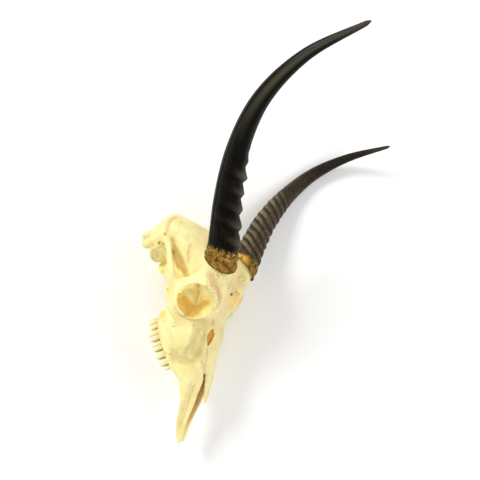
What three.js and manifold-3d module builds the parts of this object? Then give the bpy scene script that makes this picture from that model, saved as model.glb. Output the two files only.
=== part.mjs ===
// Skull of a male reedbuck with its two horns, lying on its left side.
//
// The skull is one grown bone and one mesh. Each horn sheath is a piece of its own that sits on
// a bony core, and each cheek tooth is a piece of its own that sits in a socket.
// Everything is modelled in the head frame, in millimetres: +X is the animal's right, +Y runs
// toward the nose, +Z is up through the forehead, x = 0 is the middle of the head, y = 0 is the
// level of the eye sockets and z = 0 is about where the teeth end. The whole head is then
// turned to the way in which it lies: the surface is z = 0 and the right side faces up.

import * as THREE from 'three';
import { mergeVertices } from 'three/addons/utils/BufferGeometryUtils.js';
import Module from 'manifold-3d';

const wasm = await Module();
wasm.setup();

// Driving dimensions

const SEAT_GAP = 0.35;            // between a horn or tooth and the bone around it
const HORN_BASE_RADIUS = 17.1;
const HORN_TAPER = 0.88;          // share of the base radius lost by the tip
const HORN_CORE_LENGTH = 22;      // how far the bony core reaches into the sheath
const HORN_RIDGES = 9;
const HORN_RIDGE_HEIGHT = 2.4;
const HORN_SIDES = 12;
const ORBIT_LONG_RADIUS = 18.7;   // half the eye socket's opening, nose to back
const ORBIT_TALL_RADIUS = 21.4;   // half the eye socket's opening, cheek to forehead
const ORBIT_RIM_REACH = 1.9;      // from the opening out to the middle of the rim
const ORBIT_RIM_RADIUS = 2.8;
const TOOTH_ROOT_TOP = 8;         // the level up to which a tooth reaches into the jaw
const TOOTH_ROOT_SIZE = 0.88;
const TOOTH_LEAN = 0.06;

// How the head lies, in degrees, and how much of it is flat where it touches the surface

const REST_ROLL = -6.49;
const REST_PITCH = -26.23;
const REST_FLAT = 0.4;

// Colours

const BONE = { color: 0xf1e3b4, roughness: 0.62, metalness: 0 };
const HORN = { color: 0x1d1b17, roughness: 0.4, metalness: 0 };
const TOOTH = { color: 0xead9a0, roughness: 0.35, metalness: 0 };

// Solid helpers

function point(x, y, z) {
  return new THREE.Vector3(x, y, z);
}

function solid(geometry) {
  const bare = geometry.clone();
  for (const name of Object.keys(bare.attributes)) {
    if (name !== 'position') bare.deleteAttribute(name);
  }
  const merged = mergeVertices(bare, 1e-4);
  const vertProperties = new Float32Array(merged.attributes.position.array);
  const triVerts = new Uint32Array(merged.index.array);
  return new wasm.Manifold(new wasm.Mesh({ numProp: 3, vertProperties, triVerts }));
}

function geometryOf(manifold) {
  const mesh = manifold.getMesh();
  const geometry = new THREE.BufferGeometry();
  geometry.setAttribute('position', new THREE.BufferAttribute(new Float32Array(mesh.vertProperties), 3));
  geometry.setIndex(new THREE.BufferAttribute(new Uint32Array(mesh.triVerts), 1));
  geometry.computeVertexNormals();
  return geometry;
}

// A closed body through rings of points, each ring turning the same way, with fans on both ends.
function loft(rings) {
  const sides = rings[0].length;
  const positions = [];
  const index = [];
  for (const ring of rings) {
    for (const p of ring) positions.push(p.x, p.y, p.z);
  }
  for (let row = 0; row + 1 < rings.length; row += 1) {
    for (let side = 0; side < sides; side += 1) {
      const a = row * sides + side;
      const b = row * sides + ((side + 1) % sides);
      index.push(a, b, b + sides, a, b + sides, a + sides);
    }
  }
  for (const end of [0, rings.length - 1]) {
    const middle = new THREE.Vector3();
    for (const p of rings[end]) middle.addScaledVector(p, 1 / sides);
    const hub = positions.length / 3;
    positions.push(middle.x, middle.y, middle.z);
    for (let side = 0; side < sides; side += 1) {
      const a = end * sides + side;
      const b = end * sides + ((side + 1) % sides);
      if (end === 0) index.push(hub, b, a);
      else index.push(hub, a, b);
    }
  }
  const geometry = new THREE.BufferGeometry();
  geometry.setAttribute('position', new THREE.Float32BufferAttribute(positions, 3));
  geometry.setIndex(index);
  return facingOut(geometry);
}

// Turns every face over where the body would come out inside out.
function facingOut(geometry) {
  const p = geometry.attributes.position;
  const index = geometry.index.array;
  let volume = 0;
  const a = new THREE.Vector3();
  const b = new THREE.Vector3();
  const c = new THREE.Vector3();
  for (let i = 0; i < index.length; i += 3) {
    a.fromBufferAttribute(p, index[i]);
    b.fromBufferAttribute(p, index[i + 1]);
    c.fromBufferAttribute(p, index[i + 2]);
    volume += a.dot(b.cross(c));
  }
  if (volume < 0) {
    for (let i = 0; i < index.length; i += 3) {
      [index[i + 1], index[i + 2]] = [index[i + 2], index[i + 1]];
    }
  }
  return geometry;
}

// One cross-section at y: a rounded outline with its own top, bottom and level of greatest width.
// A higher fullness gives a squarer outline.
function section({ y, wide, top, mid, bottom, over = 2.2, under = 2.2 }, sides) {
  const ring = [];
  for (let i = 0; i < sides; i += 1) {
    const angle = (2 * Math.PI * (i + 0.5)) / sides;
    const across = Math.cos(angle);
    const up = Math.sin(angle);
    const fullness = 2 / (up > 0 ? over : under);
    const x = wide * Math.sign(across) * Math.abs(across) ** fullness;
    const reach = up > 0 ? top - mid : mid - bottom;
    ring.push(point(x, y, mid + reach * Math.sign(up) * Math.abs(up) ** fullness));
  }
  return ring;
}

function body(stations, sides) {
  return solid(loft(stations.map((station) => section(station, sides))));
}

// A tube through points, with a radius across and a radius tall at each. Tall is measured
// nearest to the given direction.
function limb(stops, tall, sides) {
  const path = new THREE.CatmullRomCurve3(stops.map((stop) => stop.at), false, 'centripetal');
  const steps = Math.round((stops.length - 1) * 1.4);
  const rings = [];
  for (let step = 0; step <= steps; step += 1) {
    const k = step / steps;
    const place = k * (stops.length - 1);
    const before = Math.min(Math.floor(place), stops.length - 2);
    const part = place - before;
    const wide = THREE.MathUtils.lerp(stops[before].wide, stops[before + 1].wide, part);
    const high = THREE.MathUtils.lerp(stops[before].high, stops[before + 1].high, part);
    rings.push(oval(path.getPoint(k), path.getTangent(k), tall, wide, high, sides));
  }
  return solid(loft(rings));
}

function oval(centre, along, tall, wide, high, sides) {
  const across = new THREE.Vector3().crossVectors(along, tall).normalize();
  const up = new THREE.Vector3().crossVectors(across, along).normalize();
  const ring = [];
  for (let i = 0; i < sides; i += 1) {
    const angle = (2 * Math.PI * i) / sides;
    ring.push(centre.clone()
      .addScaledVector(across, wide * Math.cos(angle))
      .addScaledVector(up, high * Math.sin(angle)));
  }
  return ring;
}

// A rounded lump with its own radius along each axis.
function ball(centre, radii, rows = 5) {
  const geometry = new THREE.SphereGeometry(1, 2 * rows, rows);
  geometry.scale(radii.x, radii.y, radii.z);
  geometry.translate(centre.x, centre.y, centre.z);
  return solid(geometry);
}

// The same body on the head's left side.
function mirrored(manifold) {
  return manifold.mirror([1, 0, 0]);
}

function both(manifold) {
  return manifold.add(mirrored(manifold));
}

function joined(bodies) {
  return bodies.reduce((all, next) => all.add(next));
}

// The body with every space that is closed off inside it filled.
function filled(manifold) {
  return joined(manifold.decompose().filter((shell) => shell.volume() > 0));
}

// Skull

const CRANIUM = [
  { y: -125.5, wide: 16, top: 61, mid: 56, bottom: 50 },
  { y: -122, wide: 25, top: 66.5, mid: 54, bottom: 38 },
  { y: -115, wide: 32, top: 73, mid: 51, bottom: 20 },
  { y: -105.5, wide: 35.5, top: 79.5, mid: 54, bottom: 12 },
  { y: -94, wide: 36.5, top: 87, mid: 60, bottom: 14, under: 1.9 },
  { y: -79, wide: 35.5, top: 97, mid: 68, bottom: 17, under: 1.7 },
  { y: -63, wide: 34, top: 107.5, mid: 76, bottom: 21, under: 1.4 },
  { y: -48, wide: 34, top: 114, mid: 82, bottom: 24, under: 1.3 },
  { y: -34, wide: 36, top: 112, mid: 82, bottom: 25, under: 1.2 },
  { y: -20, wide: 28, top: 102, mid: 76, bottom: 25, under: 1.3 },
  { y: -4, wide: 19, top: 84, mid: 60, bottom: 22, under: 1.6 },
];

const FOREHEAD = [
  { y: -38, wide: 36, top: 112, mid: 97, bottom: 84, over: 3 },
  { y: -27, wide: 44, top: 106.5, mid: 87, bottom: 68, over: 3 },
  { y: -15, wide: 48, top: 98, mid: 74, bottom: 50, over: 2.8 },
  { y: 0, wide: 47.5, top: 89, mid: 64, bottom: 38, over: 2.5 },
  { y: 12, wide: 44, top: 82.5, mid: 57, bottom: 32, over: 2 },
  { y: 24, wide: 36.5, top: 76, mid: 51, bottom: 28, over: 1.9 },
  { y: 36, wide: 31, top: 69.5, mid: 46, bottom: 24, over: 1.9 },
  { y: 48, wide: 26, top: 62, mid: 40, bottom: 20, over: 1.9 },
];

const UPPER_JAW = [
  { y: -9, wide: 30, top: 34, mid: 21, bottom: 10 },
  { y: -2, wide: 35, top: 50, mid: 24, bottom: 8.5 },
  { y: 12, wide: 38.5, top: 60, mid: 30, bottom: 8 },
  { y: 28, wide: 39, top: 66, mid: 31, bottom: 8, over: 2 },
  { y: 42, wide: 36, top: 64, mid: 28, bottom: 8, over: 1.9 },
  { y: 52, wide: 29.5, top: 59, mid: 25, bottom: 7, over: 1.9 },
  { y: 62, wide: 24, top: 53, mid: 23, bottom: 5, over: 1.9 },
  { y: 72, wide: 19, top: 46.5, mid: 21, bottom: 3, over: 1.9 },
  { y: 80, wide: 15.5, top: 41, mid: 19, bottom: 3, over: 1.9 },
];

const NOSE_HOLLOW = [
  { y: 6, wide: 4, top: 52, mid: 44, bottom: 38 },
  { y: 22, wide: 10, top: 62, mid: 40, bottom: 26 },
  { y: 42, wide: 14, top: 61, mid: 36, bottom: 18 },
  { y: 60, wide: 14, top: 51, mid: 30, bottom: 14 },
  { y: 74, wide: 12.5, top: 42, mid: 25, bottom: 11 },
  { y: 84, wide: 11, top: 42, mid: 24, bottom: 9 },
];

// Stretches of the two nasal bones together: half width, ridge height, drop to the edge.
const NASAL_ROOF = [
  { y: 24, wide: 17, top: 76, drop: 6 },
  { y: 41, wide: 16.5, top: 67, drop: 8 },
  { y: 56, wide: 14.5, top: 58.3, drop: 7.5 },
  { y: 70, wide: 12, top: 50.3, drop: 6.5 },
  { y: 84, wide: 8.8, top: 41.6, drop: 5.5 },
  { y: 97, wide: 5.6, top: 33, drop: 4 },
  { y: 109, wide: 1.6, top: 25, drop: 1.5 },
];

// The blade of one premaxilla: where its middle runs and its half height.
const NOSE_BLADE = [
  { y: 64, x: 19.5, z: 24, high: 19 },
  { y: 76, x: 15.2, z: 20.5, high: 17.5 },
  { y: 88, x: 12, z: 13.5, high: 13.5 },
  { y: 100, x: 9.8, z: 6.5, high: 9.8 },
  { y: 112, x: 8, z: -3.5, high: 8 },
  { y: 123, x: 6.8, z: -12, high: 6.6 },
  { y: 134, x: 5.4, z: -18.6, high: 5 },
  { y: 142.5, x: 3.8, z: -22.2, high: 2.8 },
];

const UP = point(0, 0, 1);

function nasalRoof() {
  const arch = 5;
  const thick = 3.4;
  const rings = NASAL_ROOF.map(({ y, wide, top, drop }) => {
    const outer = [];
    const inner = [];
    for (let i = 0; i < arch; i += 1) {
      const k = (2 * i) / (arch - 1) - 1;
      const z = top - drop * k * k;
      outer.push(point(-wide * k, y, z));
      inner.unshift(point(-wide * k * 0.94, y, z - thick));
    }
    return [...outer, ...inner];
  });
  return solid(loft(rings));
}

// The gap left open on the side of the face between the nasal bone and its neighbours: a
// diamond and, behind it, a small slot. Both run through the wall into the nose hollow.
function faceGap(centre, long, wide) {
  const inward = point(-0.85, -0.2, -0.48).multiplyScalar(13);
  const along = point(0.06, 0.79, -0.61).multiplyScalar(long);
  const across = point(-0.55, 0.2, 0.8).normalize().multiplyScalar(wide);
  const rings = [centre.clone().addScaledVector(inward, -0.35), centre.clone().add(inward)].map((c) => [
    c.clone().add(along),
    c.clone().add(across),
    c.clone().sub(along),
    c.clone().sub(across),
  ]);
  return solid(loft(rings));
}

function noseBlade() {
  const stops = NOSE_BLADE.map(({ y, x, z, high }) => ({ at: point(x, y, z), wide: 3, high }));
  stops[stops.length - 1].wide = 2;
  return limb(stops, UP, 7);
}

function noseFloor() {
  return limb([
    { at: point(3.2, 70, 5.5), wide: 3, high: 2 },
    { at: point(3.4, 92, 1), wide: 2.6, high: 1.8 },
    { at: point(3.6, 112, -8.5), wide: 2.4, high: 1.8 },
    { at: point(4.4, 130, -18.5), wide: 3, high: 2.4 },
  ], UP, 6);
}

// The plane of the eye socket's opening: outward, toward the nose, toward the forehead.
const ORBIT_CENTRE = point(45.3, -0.5, 70.2);
const ORBIT_OUT = point(0.923, 0.339, 0.181).normalize();
const ORBIT_TALL = point(-0.28, 0.266, 0.927).normalize();
const ORBIT_LONG = new THREE.Vector3().crossVectors(ORBIT_TALL, ORBIT_OUT).normalize();
const ORBIT_APEX = point(13, -19, 62);
const ORBIT_RECESS = point(-7, -1.5, -3);

// A point on an oval around the socket. Toward the nose and the forehead the oval lies deeper,
// as the rim there draws in to the middle of the head.
function orbitPoint(centre, angle, long, tall) {
  const drawn = Math.max(Math.cos(angle - Math.PI / 4), 0) ** 2;
  return centre.clone()
    .addScaledVector(ORBIT_LONG, long * Math.cos(angle))
    .addScaledVector(ORBIT_TALL, tall * Math.sin(angle))
    .addScaledVector(ORBIT_RECESS, drawn);
}

// The socket narrows inward: how far along from the opening to its end, and how wide.
const ORBIT_NARROWING = [[-0.35, 1.1], [0, 1], [0.4, 1], [0.75, 0.7], [1, 0.25]];

function orbitHollow() {
  const sides = 14;
  const inward = ORBIT_APEX.clone().sub(ORBIT_CENTRE);
  const rings = ORBIT_NARROWING.map(([depth, size]) => {
    const centre = ORBIT_CENTRE.clone().addScaledVector(inward, depth);
    const ring = [];
    for (let i = 0; i < sides; i += 1) {
      const angle = (2 * Math.PI * i) / sides;
      ring.push(orbitPoint(centre, angle, ORBIT_LONG_RADIUS * size, ORBIT_TALL_RADIUS * size));
    }
    return ring;
  });
  return solid(loft(rings));
}

// The raised rim around the eye socket, a closed ring of bone.
function orbitRim() {
  const turns = 18;
  const sides = 6;
  const positions = [];
  const index = [];
  const outward = new THREE.Vector3();
  for (let turn = 0; turn < turns; turn += 1) {
    const angle = (2 * Math.PI * turn) / turns;
    outward.set(0, 0, 0)
      .addScaledVector(ORBIT_LONG, Math.cos(angle))
      .addScaledVector(ORBIT_TALL, Math.sin(angle));
    const long = ORBIT_LONG_RADIUS + ORBIT_RIM_REACH;
    const tall = ORBIT_TALL_RADIUS + ORBIT_RIM_REACH;
    const centre = orbitPoint(ORBIT_CENTRE, angle, long, tall);
    for (let side = 0; side < sides; side += 1) {
      const around = (2 * Math.PI * side) / sides;
      const p = centre.clone()
        .addScaledVector(outward, ORBIT_RIM_RADIUS * Math.cos(around))
        .addScaledVector(ORBIT_OUT, ORBIT_RIM_RADIUS * Math.sin(around));
      positions.push(p.x, p.y, p.z);
      const a = turn * sides + side;
      const b = turn * sides + ((side + 1) % sides);
      const c = ((turn + 1) % turns) * sides + ((side + 1) % sides);
      const d = ((turn + 1) % turns) * sides + side;
      index.push(a, b, c, a, c, d);
    }
  }
  const geometry = new THREE.BufferGeometry();
  geometry.setAttribute('position', new THREE.Float32BufferAttribute(positions, 3));
  geometry.setIndex(index);
  return solid(facingOut(geometry));
}

function cheekArch() {
  return limb([
    { at: point(30, -88, 50), wide: 8, high: 8 },
    { at: point(42, -81, 54), wide: 5, high: 6 },
    { at: point(50, -69, 57.5), wide: 3, high: 4.4 },
    { at: point(53.5, -54, 56.5), wide: 2.8, high: 4.2 },
    { at: point(54, -40, 54), wide: 2.8, high: 4.4 },
    { at: point(53.5, -27, 50), wide: 3, high: 6 },
    { at: point(51, -14, 44.5), wide: 3.6, high: 8 },
    { at: point(45.5, 2, 42.5), wide: 5.5, high: 9 },
    { at: point(31, 20, 42), wide: 6, high: 9 },
  ], UP, 8);
}

function eyeBar() {
  return limb([
    { at: point(34, -22, 94), wide: 7, high: 8 },
    { at: point(43, -22.5, 84), wide: 4.5, high: 6.5 },
    { at: point(49.5, -22.5, 71), wide: 3.4, high: 5 },
    { at: point(52.5, -24, 56), wide: 3.2, high: 6 },
    { at: point(53, -24, 48), wide: 3, high: 6 },
  ], point(0, 1, 0.3), 6);
}

function toothRidge() {
  return limb([
    { at: point(26, -8, 13), wide: 6.5, high: 6 },
    { at: point(28, 8, 10.5), wide: 8, high: 6.5 },
    { at: point(28.2, 26, 9), wide: 8, high: 6.5 },
    { at: point(26, 44, 8.5), wide: 6.8, high: 6 },
    { at: point(22, 60, 8.5), wide: 5, high: 5.5 },
    { at: point(17.5, 72, 10), wide: 2.6, high: 4 },
  ], UP, 6);
}

// Horns

// Where the right and the left horn run, from base to tip. They differ a little, as grown
// horns do.
const HORN_PATH_RIGHT = [
  point(35, -34, 111),
  point(60.5, -86, 147),
  point(87, -126, 187.5),
  point(110, -149, 232),
  point(127, -156, 286),
  point(136, -147, 348),
];
const HORN_PATH_LEFT = [
  point(-33.2, -33.6, 108.5),
  point(-64.4, -87.4, 143.8),
  point(-96, -125, 184),
  point(-119, -147, 229),
  point(-133, -153, 281),
  point(-134, -142, 341),
];

const HORN_RIM_NORMAL = point(0.5, -0.38, 0.78).normalize();

// One ring of a horn. Near the base the rings slide along the horn into the slanting plane in
// which the horn meets the forehead. Ridges stand out most on the side toward the nose.
function hornRing(path, mirror, k, radius, ridge) {
  const centre = path.getPointAt(k);
  const tangent = path.getTangentAt(k);
  const across = new THREE.Vector3().crossVectors(tangent, point(0, 1, 0)).normalize();
  const fore = new THREE.Vector3().crossVectors(across, tangent).normalize();
  const normal = point(mirror * HORN_RIM_NORMAL.x, HORN_RIM_NORMAL.y, HORN_RIM_NORMAL.z);
  const slant = (1 - k) ** 6;
  const ring = [];
  for (let i = 0; i < HORN_SIDES; i += 1) {
    const angle = (2 * Math.PI * i) / HORN_SIDES;
    const radial = new THREE.Vector3()
      .addScaledVector(across, Math.cos(angle))
      .addScaledVector(fore, Math.sin(angle));
    const slide = (-radial.dot(normal) * radius) / tangent.dot(normal);
    const bump = ridge * (0.55 + 0.45 * Math.sin(angle));
    ring.push(centre.clone()
      .addScaledVector(radial, radius + bump)
      .addScaledVector(tangent, slide * slant));
  }
  return ring;
}

// Radius along the horn: a flared base, a taper that grows toward the tip, a blunt tip.
function hornRadius(k) {
  const flare = 2 * Math.exp(-k / 0.03);
  const blunt = Math.min(1, Math.sqrt(Math.max(1 - k, 0.0015) / 0.015));
  return (HORN_BASE_RADIUS * (1 - HORN_TAPER * k ** 1.35) + flare) * blunt;
}

// The rings of points that a horn is drawn through, as fractions of its length: two at each
// ridge, one on its foot and one on its crest, then a plain stretch up to the tip.
function hornStops() {
  const stops = [{ k: 0, ridge: 0 }, { k: 0.03, ridge: 0 }];
  for (let i = 0; i < HORN_RIDGES; i += 1) {
    const start = 0.06 + i * 0.052;
    const height = HORN_RIDGE_HEIGHT * (1 - start);
    stops.push({ k: start, ridge: 0 }, { k: start + 0.02, ridge: height });
  }
  for (let i = 0; i < 9; i += 1) stops.push({ k: 0.55 + i * 0.054, ridge: 0 });
  stops.push({ k: 1, ridge: 0 });
  return stops;
}

function horn(points, mirror) {
  const path = new THREE.CatmullRomCurve3(points, false, 'centripetal');
  const rings = hornStops().map(({ k, ridge }) => hornRing(path, mirror, k, hornRadius(k), ridge));
  return solid(loft(rings));
}

// The bony core under a horn. It starts inside the forehead and ends inside the sheath.
function hornCore(points, mirror, extra) {
  const path = new THREE.CatmullRomCurve3(points, false, 'centripetal');
  const base = points[0];
  const root = point(mirror * 24, -14, 86);
  const length = path.getLength();
  const end = HORN_CORE_LENGTH / length;
  const stops = [
    { at: root, wide: 18, high: 18 },
    { at: base.clone().lerp(root, 0.45), wide: 17, high: 17.4 },
    { at: base.clone(), wide: 15, high: 16 },
    { at: path.getPointAt(end * 0.6), wide: 12.5, high: 13.5 },
    { at: path.getPointAt(end), wide: 6, high: 6.5 },
  ];
  for (const stop of stops) {
    stop.wide += extra;
    stop.high += extra;
  }
  if (extra > 0) stops[stops.length - 1].at = path.getPointAt(end + extra / length);
  return limb(stops, point(0, 1, 0), 10);
}

// Teeth

// Each cheek tooth on one side, from the back: name, length along the row, width across it.
const TEETH = [
  { name: 'molar_3', long: 13.6, wide: 11.5 },
  { name: 'molar_2', long: 13.6, wide: 13 },
  { name: 'molar_1', long: 11.6, wide: 12.6 },
  { name: 'premolar_4', long: 9, wide: 11 },
  { name: 'premolar_3', long: 8.8, wide: 9.4 },
  { name: 'premolar_2', long: 7.8, wide: 7.6 },
];
const TOOTH_ROW_BACK = -3;
const TOOTH_ROW_MIDDLE = 30;
const TOOTH_SPACE = 0.4;

// The row's middle bows outward, and its biting edge bows down.
function toothRowX(y) {
  return 28.2 - (y > 14 ? 0.0034 : 0.0046) * (y - 14) ** 2;
}

function toothRowEdge(y) {
  return -8.4 + 8 * ((y - TOOTH_ROW_MIDDLE) / 34) ** 4;
}

function toothOutline({ long, wide }, z, size, lobed) {
  const ring = [];
  const sides = 10;
  for (let i = 0; i < sides; i += 1) {
    const angle = (2 * Math.PI * (i + 0.5)) / sides;
    const waist = 0.1 * Math.cos(2 * angle) ** 2 * Math.sign(Math.cos(2 * angle));
    const across = Math.cos(angle) * (lobed ? 1 - waist : 1);
    const along = Math.sin(angle);
    const x = (wide / 2) * size * Math.sign(across) * Math.abs(across) ** 0.7;
    const y = (long / 2) * size * Math.sign(along) * Math.abs(along) ** 0.7;
    ring.push(point(x, y, z));
  }
  return ring;
}

// A tooth from the middle of its socket down to its biting edge. With extra it is the socket.
function toothAt(tooth, y, side, extra) {
  const grown = { long: tooth.long + 2 * extra, wide: tooth.wide + 2 * extra };
  const edge = toothRowEdge(y);
  const lobed = tooth.name.startsWith('molar');
  const rings = [
    toothOutline(grown, TOOTH_ROOT_TOP + extra, TOOTH_ROOT_SIZE, lobed),
    toothOutline(grown, edge, 1, lobed),
  ];
  for (const ring of rings) {
    for (const p of ring) {
      p.x = side * (p.x + toothRowX(y) - TOOTH_LEAN * (p.z - edge));
      p.y += y;
    }
  }
  return solid(loft(rings));
}

function toothPlaces() {
  const places = [];
  let y = TOOTH_ROW_BACK;
  for (const tooth of TEETH) {
    places.push({ tooth, y: y + tooth.long / 2 });
    y += tooth.long + TOOTH_SPACE;
  }
  return places;
}

function skull() {
  const hull = joined([body(CRANIUM, 16), body(FOREHEAD, 16), body(UPPER_JAW, 16)]);
  const brow = both(ball(point(22, -8, 80), point(18, 24, 14.5), 6));
  const gaps = faceGap(point(21, 41.5, 62.3), 11.5, 4.2).add(faceGap(point(20.5, 26.5, 72.3), 3.6, 1.9));
  const spine = ball(point(0, -117, 12), point(8.5, 14, 7.5));
  const bars = joined([cheekArch(), eyeBar(), toothRidge(), noseBlade(), noseFloor(), skullBase()]);
  let bone = joined([hull, brow, both(orbitRim()), both(bars)]);
  bone = bone.subtract(joined([both(orbitHollow()), body(NOSE_HOLLOW, 10), spine])).add(nasalRoof());
  bone = bone.subtract(both(gaps));
  bone = bone.add(hornCore(HORN_PATH_RIGHT, 1, 0)).add(hornCore(HORN_PATH_LEFT, -1, 0));
  for (const { tooth, y } of toothPlaces()) {
    for (const side of [1, -1]) {
      bone = bone.subtract(toothAt(tooth, y, side, SEAT_GAP));
    }
  }
  return filled(bone);
}

// The lumps and plates under the right side of the braincase.
function skullBase() {
  const condyle = ball(point(12.5, -110.5, 12), point(8.5, 9, 10.5));
  const ear = ball(point(21, -80.5, 22.5), point(9, 12, 11));
  const process = ball(point(25, -98, 20), point(7, 7, 13));
  const earTube = limb([
    { at: point(24, -84, 33), wide: 6, high: 6 },
    { at: point(36, -88, 39), wide: 3.8, high: 3.8 },
  ], UP, 8);
  const plate = limb([
    { at: point(12, -68, 17), wide: 3, high: 8 },
    { at: point(13, -58, 24), wide: 2.4, high: 9 },
    { at: point(13, -42, 36), wide: 2.4, high: 12 },
    { at: point(14, -20, 33), wide: 2.4, high: 16 },
    { at: point(18, -2, 28), wide: 4, high: 18 },
  ], UP, 6);
  return joined([condyle, ear, process, earTube, plate]);
}

// The head

function meshOf(name, manifold, finish) {
  const mesh = new THREE.Mesh(geometryOf(manifold), new THREE.MeshStandardMaterial(finish));
  mesh.name = name;
  return mesh;
}

// How the head lies: its right side up, then rolled and pitched onto three points of its left
// side, which are the process behind the ear, the cheek arch and the horn.
function lyingTurn() {
  const sideUp = new THREE.Matrix4().makeBasis(point(0, 0, 1), point(0, -1, 0), point(1, 0, 0));
  const roll = THREE.MathUtils.degToRad(REST_ROLL);
  const pitch = THREE.MathUtils.degToRad(REST_PITCH);
  return new THREE.Matrix4().makeRotationFromEuler(new THREE.Euler(roll, pitch, 0)).multiply(sideUp);
}

// The surface under the lying head, as a block in the head frame that reaches up to the level.
function surfaceBlock(turn, level) {
  const size = 900;
  const block = new THREE.BoxGeometry(size, size, size);
  block.translate(0, 0, level - size / 2);
  block.applyMatrix4(turn.clone().invert());
  return solid(block);
}

function lowestPoint(manifolds, turn) {
  const p = new THREE.Vector3();
  let lowest = Infinity;
  for (const manifold of manifolds) {
    const { vertProperties } = manifold.getMesh();
    for (let i = 0; i < vertProperties.length; i += 3) {
      p.fromArray(vertProperties, i).applyMatrix4(turn);
      lowest = Math.min(lowest, p.z);
    }
  }
  return lowest;
}

function head() {
  const turn = lyingTurn();
  const pieces = new Map();
  const right = horn(HORN_PATH_RIGHT, 1).subtract(hornCore(HORN_PATH_RIGHT, 1, SEAT_GAP));
  const left = horn(HORN_PATH_LEFT, -1).subtract(hornCore(HORN_PATH_LEFT, -1, SEAT_GAP));
  pieces.set('skull', { body: skull(), finish: BONE });
  pieces.set('horn_right', { body: right, finish: HORN });
  pieces.set('horn_left', { body: left, finish: HORN });
  for (const { tooth, y } of toothPlaces()) {
    pieces.set(`${tooth.name}_right`, { body: toothAt(tooth, y, 1, 0), finish: TOOTH });
    pieces.set(`${tooth.name}_left`, { body: toothAt(tooth, y, -1, 0), finish: TOOTH });
  }
  const lowest = lowestPoint([...pieces.values()].map((piece) => piece.body), turn);
  const surface = surfaceBlock(turn, lowest + REST_FLAT);
  const group = new THREE.Group();
  for (const [name, piece] of pieces) {
    const touches = lowestPoint([piece.body], turn) < lowest + REST_FLAT;
    const resting = touches ? piece.body.subtract(surface) : piece.body;
    group.add(meshOf(name, resting, piece.finish));
  }
  group.quaternion.setFromRotationMatrix(turn);
  return group;
}

// The part stands at the middle of its own outline, on the surface z = 0.
function part() {
  const group = head();
  const whole = new THREE.Group();
  whole.add(group);
  whole.updateMatrixWorld(true);
  const box = new THREE.Box3().setFromObject(whole, true);
  const middle = box.getCenter(new THREE.Vector3());
  group.position.set(-middle.x, -middle.y, -box.min.z);
  return whole;
}

export default part();
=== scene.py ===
"""Looks of a male reedbuck's skull with its two horns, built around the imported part.

Shapes are worked out in the head frame, in millimetres: +X is the animal's right, +Y runs
toward the nose, +Z is up through the forehead, x = 0 is the middle of the head and z = 0 is
about where the teeth end. HeadPose turns them into the row frame, in metres, in which the
head lies on its left side on the surface z = 0.
"""

import logging
import math
from dataclasses import dataclass
from enum import Enum

import bpy
import numpy as np
import openvdb
from mathutils import Matrix, Vector


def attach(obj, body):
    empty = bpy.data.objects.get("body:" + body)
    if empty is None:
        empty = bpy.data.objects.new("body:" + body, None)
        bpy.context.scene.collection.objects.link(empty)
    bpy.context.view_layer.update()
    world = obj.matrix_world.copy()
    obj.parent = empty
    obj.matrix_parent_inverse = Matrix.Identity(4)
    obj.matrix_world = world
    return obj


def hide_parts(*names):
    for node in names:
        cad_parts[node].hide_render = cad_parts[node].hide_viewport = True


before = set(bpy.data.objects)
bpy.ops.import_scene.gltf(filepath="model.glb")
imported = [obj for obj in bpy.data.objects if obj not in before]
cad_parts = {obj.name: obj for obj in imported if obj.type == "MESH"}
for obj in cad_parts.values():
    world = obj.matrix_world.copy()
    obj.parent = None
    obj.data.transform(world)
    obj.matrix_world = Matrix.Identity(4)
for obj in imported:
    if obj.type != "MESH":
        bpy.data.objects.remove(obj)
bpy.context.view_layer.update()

log = logging.getLogger("reedbuck_skull")

Array = np.ndarray
Socket = bpy.types.NodeSocket
Piece = bpy.types.Object

ROOT = "root"
MM = 0.001


def unit(vector: tuple) -> Array:
    """The vector at length one."""
    array = np.asarray(vector, float)
    return array / np.linalg.norm(array)


def smooth_least(a: Array, b: Array, soft: float) -> Array:
    """The smaller of two fields, rounded where they meet.

    Formula: min(a, b) - h * h * soft / 4, where h = max(soft - |a - b|, 0) / soft.

    Args:
        a: one field.
        b: the other field.
        soft: how wide the rounding is, in millimetres.

    Returns:
        The joined field.
    """
    nearness = np.maximum(soft - np.abs(a - b), 0) / soft
    return np.minimum(a, b) - nearness * nearness * (soft / 4)


def smooth_most(a: Array, b: Array, soft: float) -> Array:
    """The larger of two fields, rounded where they meet."""
    return -smooth_least(-a, -b, soft)


def soft_step(low: float, high: float, value: Array) -> Array:
    """Zero below low, one above high and 3 t^2 - 2 t^3 between them."""
    t = np.clip((value - low) / (high - low), 0, 1)
    return t * t * (3 - 2 * t)


def lattice_value(ix: Array, iy: Array, iz: Array, seed: int) -> Array:
    """A fixed pseudo-random number from -1 to 1 for each whole-number lattice point."""
    mask = 0xFFFFFFFF
    mixed = (ix * 374761393 + iy * 668265263 + iz * 1442695041 + seed * 974634777) & mask
    mixed = ((mixed ^ (mixed >> 13)) * 1274126177) & mask
    return ((mixed ^ (mixed >> 16)) & 0xFFFF) / 32767.5 - 1


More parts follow.
